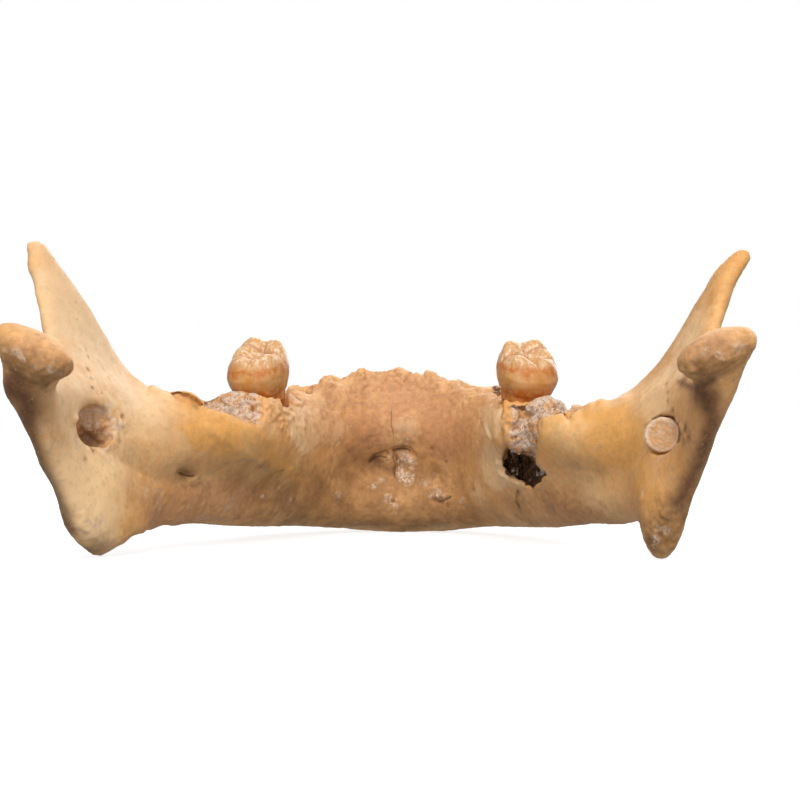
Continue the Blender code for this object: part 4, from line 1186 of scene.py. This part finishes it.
def make_plug():
    """The round filling: a worn disc with rings like a cut stem."""
    plug = copy_of("foramen_plug", "plug")
    even_skin(plug, PLUG_GRAIN)
    relax(plug, *PLUG_SMOOTHING)
    points, normals = points_of(plug)
    centre = points.mean(axis=0)
    out = np.linalg.norm(points - centre, axis=1)
    dish = DISH_DEPTH * smooth_step(DISH_RADIUS - out, *DISH_EDGE)
    height = RING_RISE * ring_waves(points, out) + summed_lumps(points, PLUG_LUMPS) - dish
    height = in_view(points, normals) * height
    set_points(plug, points + normals * height[:, None])
    thin_out(plug, PLUG_TRIANGLES)
    points, _ = points_of(plug)
    out = np.linalg.norm(points - centre, axis=1)
    store(plug, "ring", 0.5 + 0.5 * ring_waves(points, out))
    store(plug, "rim", smooth_step(out, *RIM_EDGE))
    return plug


def feed(tree, node, inputs):
    """Sets the sockets of a shader node, or links them to other sockets."""
    for key, value in inputs.items():
        if isinstance(value, bpy.types.NodeSocket):
            tree.links.new(value, node.inputs[key])
        else:
            node.inputs[key].default_value = value


def add(tree, kind, inputs=None, **settings):
    """A shader node with its settings, its values and the sockets that feed it."""
    made = tree.nodes.new(kind)
    for key, value in settings.items():
        setattr(made, key, value)
    feed(tree, made, inputs or {})
    return made


def mix(tree, share, first, second, blend="MIX"):
    """The output of a colour mix of sockets or 8-bit colours."""
    first, second = [
        linear(part) if isinstance(part, tuple) else part for part in (first, second)]
    made = add(
        tree, "ShaderNodeMix", {0: share, 6: first, 7: second}, data_type="RGBA", blend_type=blend)
    return made.outputs[2]


def maths(tree, operation, first, second=0.0):
    return add(tree, "ShaderNodeMath", {0: first, 1: second}, operation=operation).outputs[0]


def times(tree, first, second):
    return maths(tree, "MULTIPLY", first, second)


def plus(tree, first, second):
    return maths(tree, "ADD", first, second)


def layer_of(tree, name):
    """The numbers that a piece's points keep under a name."""
    return add(tree, "ShaderNodeAttribute", attribute_name=name).outputs["Fac"]


def grain_of(tree, size, detail=4.0, rough=0.55, stretch=(1.0, 1.0, 1.0)):
    """Noise over the object's own place, with lumps of a size in millimetres."""
    place = add(tree, "ShaderNodeTexCoord").outputs["Object"]
    place = add(tree, "ShaderNodeMapping", {"Vector": place, "Scale": stretch}).outputs[0]
    made = add(tree, "ShaderNodeTexNoise", {
        "Vector": place, "Scale": 1.0 / (size * MM), "Detail": detail, "Roughness": rough})
    return made.outputs["Fac"]


def steps(tree, value, low, high, low_to=0.0, high_to=1.0):
    """A value stretched from one range to another and kept within it."""
    return add(tree, "ShaderNodeMapRange", {
        "Value": value, "From Min": low, "From Max": high,
        "To Min": low_to, "To Max": high_to}).outputs["Result"]


def noise_of(tree, name):
    """One of the named noises, stretched to its range."""
    size, detail, rough, *span = NOISES[name]
    return steps(tree, grain_of(tree, size, detail, rough), *span)


def new_material(name):
    made = bpy.data.materials.new(name)
    made.use_nodes = True
    return made, made.node_tree


def dress_shader(tree, colour, rough, height, bump, shine):
    """Gives a material its colour, roughness, bump and other values."""
    strength, distance = bump
    bumped = add(tree, "ShaderNodeBump", {
        "Height": height, "Strength": strength, "Distance": distance * MM})
    feed(tree, tree.nodes["Principled BSDF"], {
        "Base Color": colour, "Roughness": rough, "Normal": bumped.outputs[0], **shine})


def layered_colour(tree, broken):
    """The bone's ground colour with all its painted layers, painted light and shade among them."""
    colour = mix(tree, noise_of(tree, "bone clouds"), BONE_TAN, BONE_AMBER)
    for layer, softness, uneven in LAYERS:
        ragged = steps(tree, broken, *NOISE_RANGE, -uneven, uneven)
        ragged = plus(tree, layer_of(tree, layer), ragged)
        share = steps(tree, ragged, 0.5 - 0.5 * softness, 0.5 + 0.5 * softness)
        if layer == "pale":
            share = times(tree, share, noise_of(tree, "speckle"))
        colour = mix(tree, share, colour, LAYER_COLOURS[layer])
    return colour


def pores_of(tree):
    """Small round pores, here and there, where the bone isn't smooth and pale."""
    cells = add(tree, "ShaderNodeTexVoronoi", {
        "Vector": add(tree, "ShaderNodeTexCoord").outputs["Object"],
        "Scale": 1.0 / (PORE_SPACING * MM)})
    pore = steps(tree, cells.outputs["Distance"], *PORE_RANGE)
    pore = times(tree, pore, noise_of(tree, "pore places"))
    return times(tree, pore, steps(tree, layer_of(tree, "cream"), *PORE_FADE))


def with_sponge(tree, colour, broken, cells):
    """The colour with spongy bone where the wall is broken."""
    sponge = mix(tree, noise_of(tree, "sponge clouds"), SPONGE, SPONGE_TAN)
    sponge = mix(tree, steps(tree, cells, *CELL_RANGE), sponge, SPONGE_PIT)
    ragged = steps(tree, broken, *NOISE_RANGE, *SPONGE_UNEVEN)
    ragged = steps(tree, plus(tree, layer_of(tree, "sponge"), ragged), *SPONGE_RANGE)
    begun = steps(tree, layer_of(tree, "sponge"), *SPONGE_START)
    return mix(tree, times(tree, ragged, begun), colour, sponge)


def bone_material():
    """Old bone: tan and amber clouds, the painted layers, pores, fibres and worn specks, with
    painted shade in cracks and painted highlights in the hole.
    """
    made, tree = new_material("old_bone")
    broken = grain_of(tree, *BROKEN_NOISE)
    colour = layered_colour(tree, broken)
    calm = steps(tree, layer_of(tree, "cream"), *CALM)
    mottle = plus(tree, times(tree, noise_of(tree, "mottle"), calm), 1.0)
    mottle = add(tree, "ShaderNodeCombineColor", {"Red": mottle, "Green": mottle, "Blue": mottle})
    colour = mix(tree, 1.0, colour, mottle.outputs[0], "MULTIPLY")
    streaks = grain_of(tree, *STREAK_NOISE)
    share = times(tree, steps(tree, streaks, *STREAK_RANGE), STREAK_SHARE)
    colour = mix(tree, times(tree, share, calm), colour, STREAK)
    colour = mix(tree, times(tree, noise_of(tree, "specks"), SPECK_SHARE), colour, SPECK)
    pore = pores_of(tree)
    colour = mix(tree, times(tree, pore, PORE_SHARE), colour, PORE)
    deep = mix(tree, noise_of(tree, "dark crumbs"), LAYER_COLOURS["deep"], DEEP_CRUMBS)
    colour = mix(tree, layer_of(tree, "deep"), colour, deep)
    # Painted highlights in the hole, broken up by noise.
    sparkle = times(tree, layer_of(tree, "glint"), noise_of(tree, "sparkle"))
    colour = mix(tree, sparkle, colour, GLINT)
    cells = grain_of(tree, *CELL_NOISE)
    colour = with_sponge(tree, colour, broken, cells)
    # Painted shade in the cracks, creases and gaps.
    gap = maths(tree, "ABSOLUTE", layer_of(tree, "crack_gap"))
    gap = plus(tree, gap, noise_of(tree, "crack edge"))
    crack = times(tree, steps(tree, gap, *CRACK_RANGE), layer_of(tree, "cracked"))
    colour = mix(tree, times(tree, crack, CRACK_SHADE_SHARE), colour, CRACK_SHADE)
    worn = maths(tree, "MAXIMUM", layer_of(tree, "pale"), layer_of(tree, "grey_and_shade"))
    rough = plus(tree, noise_of(tree, "bone roughness"), times(tree, worn, WORN_ROUGHNESS))
    rough = plus(tree, rough, times(tree, layer_of(tree, "deep"), DEEP_GLOSS))
    marks = {
        "grain": grain_of(tree, *BONE_BUMP_NOISE), "streaks": streaks, "pores": pore,
        "cracks": crack, "cells": times(tree, layer_of(tree, "sponge"), cells)}
    height = 0.0
    for name, share in BUMP_SHARES.items():
        height = plus(tree, height, times(tree, marks[name], share))
    dress_shader(tree, colour, rough, times(tree, height, calm), BONE_BUMP, BONE_SHINE)
    return made


def tooth_material():
    """Enamel that is clearer and paler at the cusps, browner at the neck, over dull roots."""
    made, tree = new_material("old_enamel")
    side = mix(tree, noise_of(tree, "enamel clouds"), ENAMEL_SIDE, ENAMEL_CLOUD)
    streaks = steps(tree, grain_of(tree, *ENAMEL_NOISE), *ENAMEL_RANGE)
    top = mix(tree, streaks, ENAMEL_TOP, ENAMEL_STREAK)
    colour = mix(tree, layer_of(tree, "crown_top"), side, top)
    band = times(tree, layer_of(tree, "band"), noise_of(tree, "neck"))
    colour = mix(tree, times(tree, band, NECK_SHARE), colour, ENAMEL_NECK)
    # Darker colour in the grooves of the crown.
    groove = times(tree, layer_of(tree, "groove"), GROOVE_SHARE)
    colour = mix(tree, groove, colour, GROOVE_DARK)
    root = mix(tree, noise_of(tree, "roots"), ROOT_COLOUR, ENAMEL_NECK)
    colour = mix(tree, layer_of(tree, "enamel"), root, colour)
    rough = steps(tree, layer_of(tree, "enamel"), *ENAMEL_ROUGHNESS)
    rough = plus(tree, rough, noise_of(tree, "enamel roughness"))
    height = grain_of(tree, *TOOTH_BUMP_NOISE)
    dress_shader(tree, colour, rough, height, TOOTH_BUMP, TOOTH_SHINE)
    return made


def plug_material():
    """Chalky filling with faint brown rings and a paler rim."""
    made, tree = new_material("chalky_filling")
    colour = mix(tree, noise_of(tree, "filling clouds"), PLUG_FACE, PLUG_OCHRE)
    ring = times(tree, layer_of(tree, "ring"), noise_of(tree, "roots"))
    colour = mix(tree, times(tree, ring, RING_SHARE), colour, PLUG_RING)
    colour = mix(tree, times(tree, layer_of(tree, "rim"), RIM_SHARE), colour, PLUG_RIM)
    rough = noise_of(tree, "filling roughness")
    dress_shader(tree, colour, rough, grain_of(tree, *PLUG_BUMP_NOISE), PLUG_BUMP, {})
    return made


def dress(piece, node, material):
    """Makes a piece stand for its CAD node, with smooth shading and its material."""
    piece.data.materials.clear()
    piece.data.materials.append(material)
    piece.data.shade_smooth()
    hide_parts(node)
    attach(piece, "root")


def make_floor():
    """A wide plain floor at the height on which the bone stands."""
    bpy.ops.mesh.primitive_plane_add(size=FLOOR_SIZE, location=(0.0, 0.0, 0.0))
    floor = bpy.context.object
    floor.name = "floor"
    made, tree = new_material("white_floor")
    feed(tree, tree.nodes["Principled BSDF"], {
        "Base Color": linear(FLOOR_GREY), "Roughness": FLOOR_ROUGHNESS,
        "Emission Color": PURE_WHITE, "Emission Strength": FLOOR_GLOW})
    floor.data.materials.append(made)
    floor.visible_diffuse = False
    floor.visible_glossy = False


def make_light():
    """Three broad soft lights, from above, behind the camera and the front, in a white room."""
    for name, strength, breadth, lean, turn in LIGHTS:
        sun = bpy.data.lights.new(name, "SUN")
        sun.energy = strength
        sun.angle = math.radians(breadth)
        sun.color = LIGHT_COLOUR
        lamp = bpy.data.objects.new(name, sun)
        lamp.rotation_euler = (math.radians(lean), 0.0, math.radians(turn))
        bpy.context.scene.collection.objects.link(lamp)
    world = bpy.data.worlds.new("white_room")
    bpy.context.scene.world = world
    world.use_nodes = True
    tree = world.node_tree
    seen = add(tree, "ShaderNodeLightPath").outputs["Is Camera Ray"]
    strength = steps(tree, seen, 0.0, 1.0, ROOM_LIGHT, WHITE)
    feed(tree, tree.nodes["Background"], {"Color": PURE_WHITE, "Strength": strength})


def make_camera():
    """The photo's camera, and plain colours without a film curve."""
    bpy.context.scene.view_settings.view_transform = "Standard"
    lens = bpy.data.cameras.new("camera")
    lens.lens = LENS
    lens.sensor_width = SENSOR
    lens.clip_start = CLIP_NEAR
    lens.clip_end = CLIP_FAR
    camera = bpy.data.objects.new("camera", lens)
    camera.location = Vector(CAMERA_AT) * MM
    camera.rotation_euler = camera_axes().to_euler()
    bpy.context.scene.collection.objects.link(camera)
    bpy.context.scene.camera = camera


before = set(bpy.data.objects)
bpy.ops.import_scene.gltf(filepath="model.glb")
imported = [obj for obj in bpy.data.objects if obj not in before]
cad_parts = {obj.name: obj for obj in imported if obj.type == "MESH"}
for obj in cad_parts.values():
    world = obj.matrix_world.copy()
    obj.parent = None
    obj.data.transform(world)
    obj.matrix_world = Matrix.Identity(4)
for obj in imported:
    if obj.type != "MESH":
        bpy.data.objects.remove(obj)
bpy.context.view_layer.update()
make_camera()
make_light()
make_floor()
dress(make_bone(), "mandible", bone_material())
enamel = tooth_material()
dress(make_tooth("molar_left", -1.0), "molar_left", enamel)
dress(make_tooth("molar_right", 1.0), "molar_right", enamel)
dress(make_plug(), "foramen_plug", plug_material())
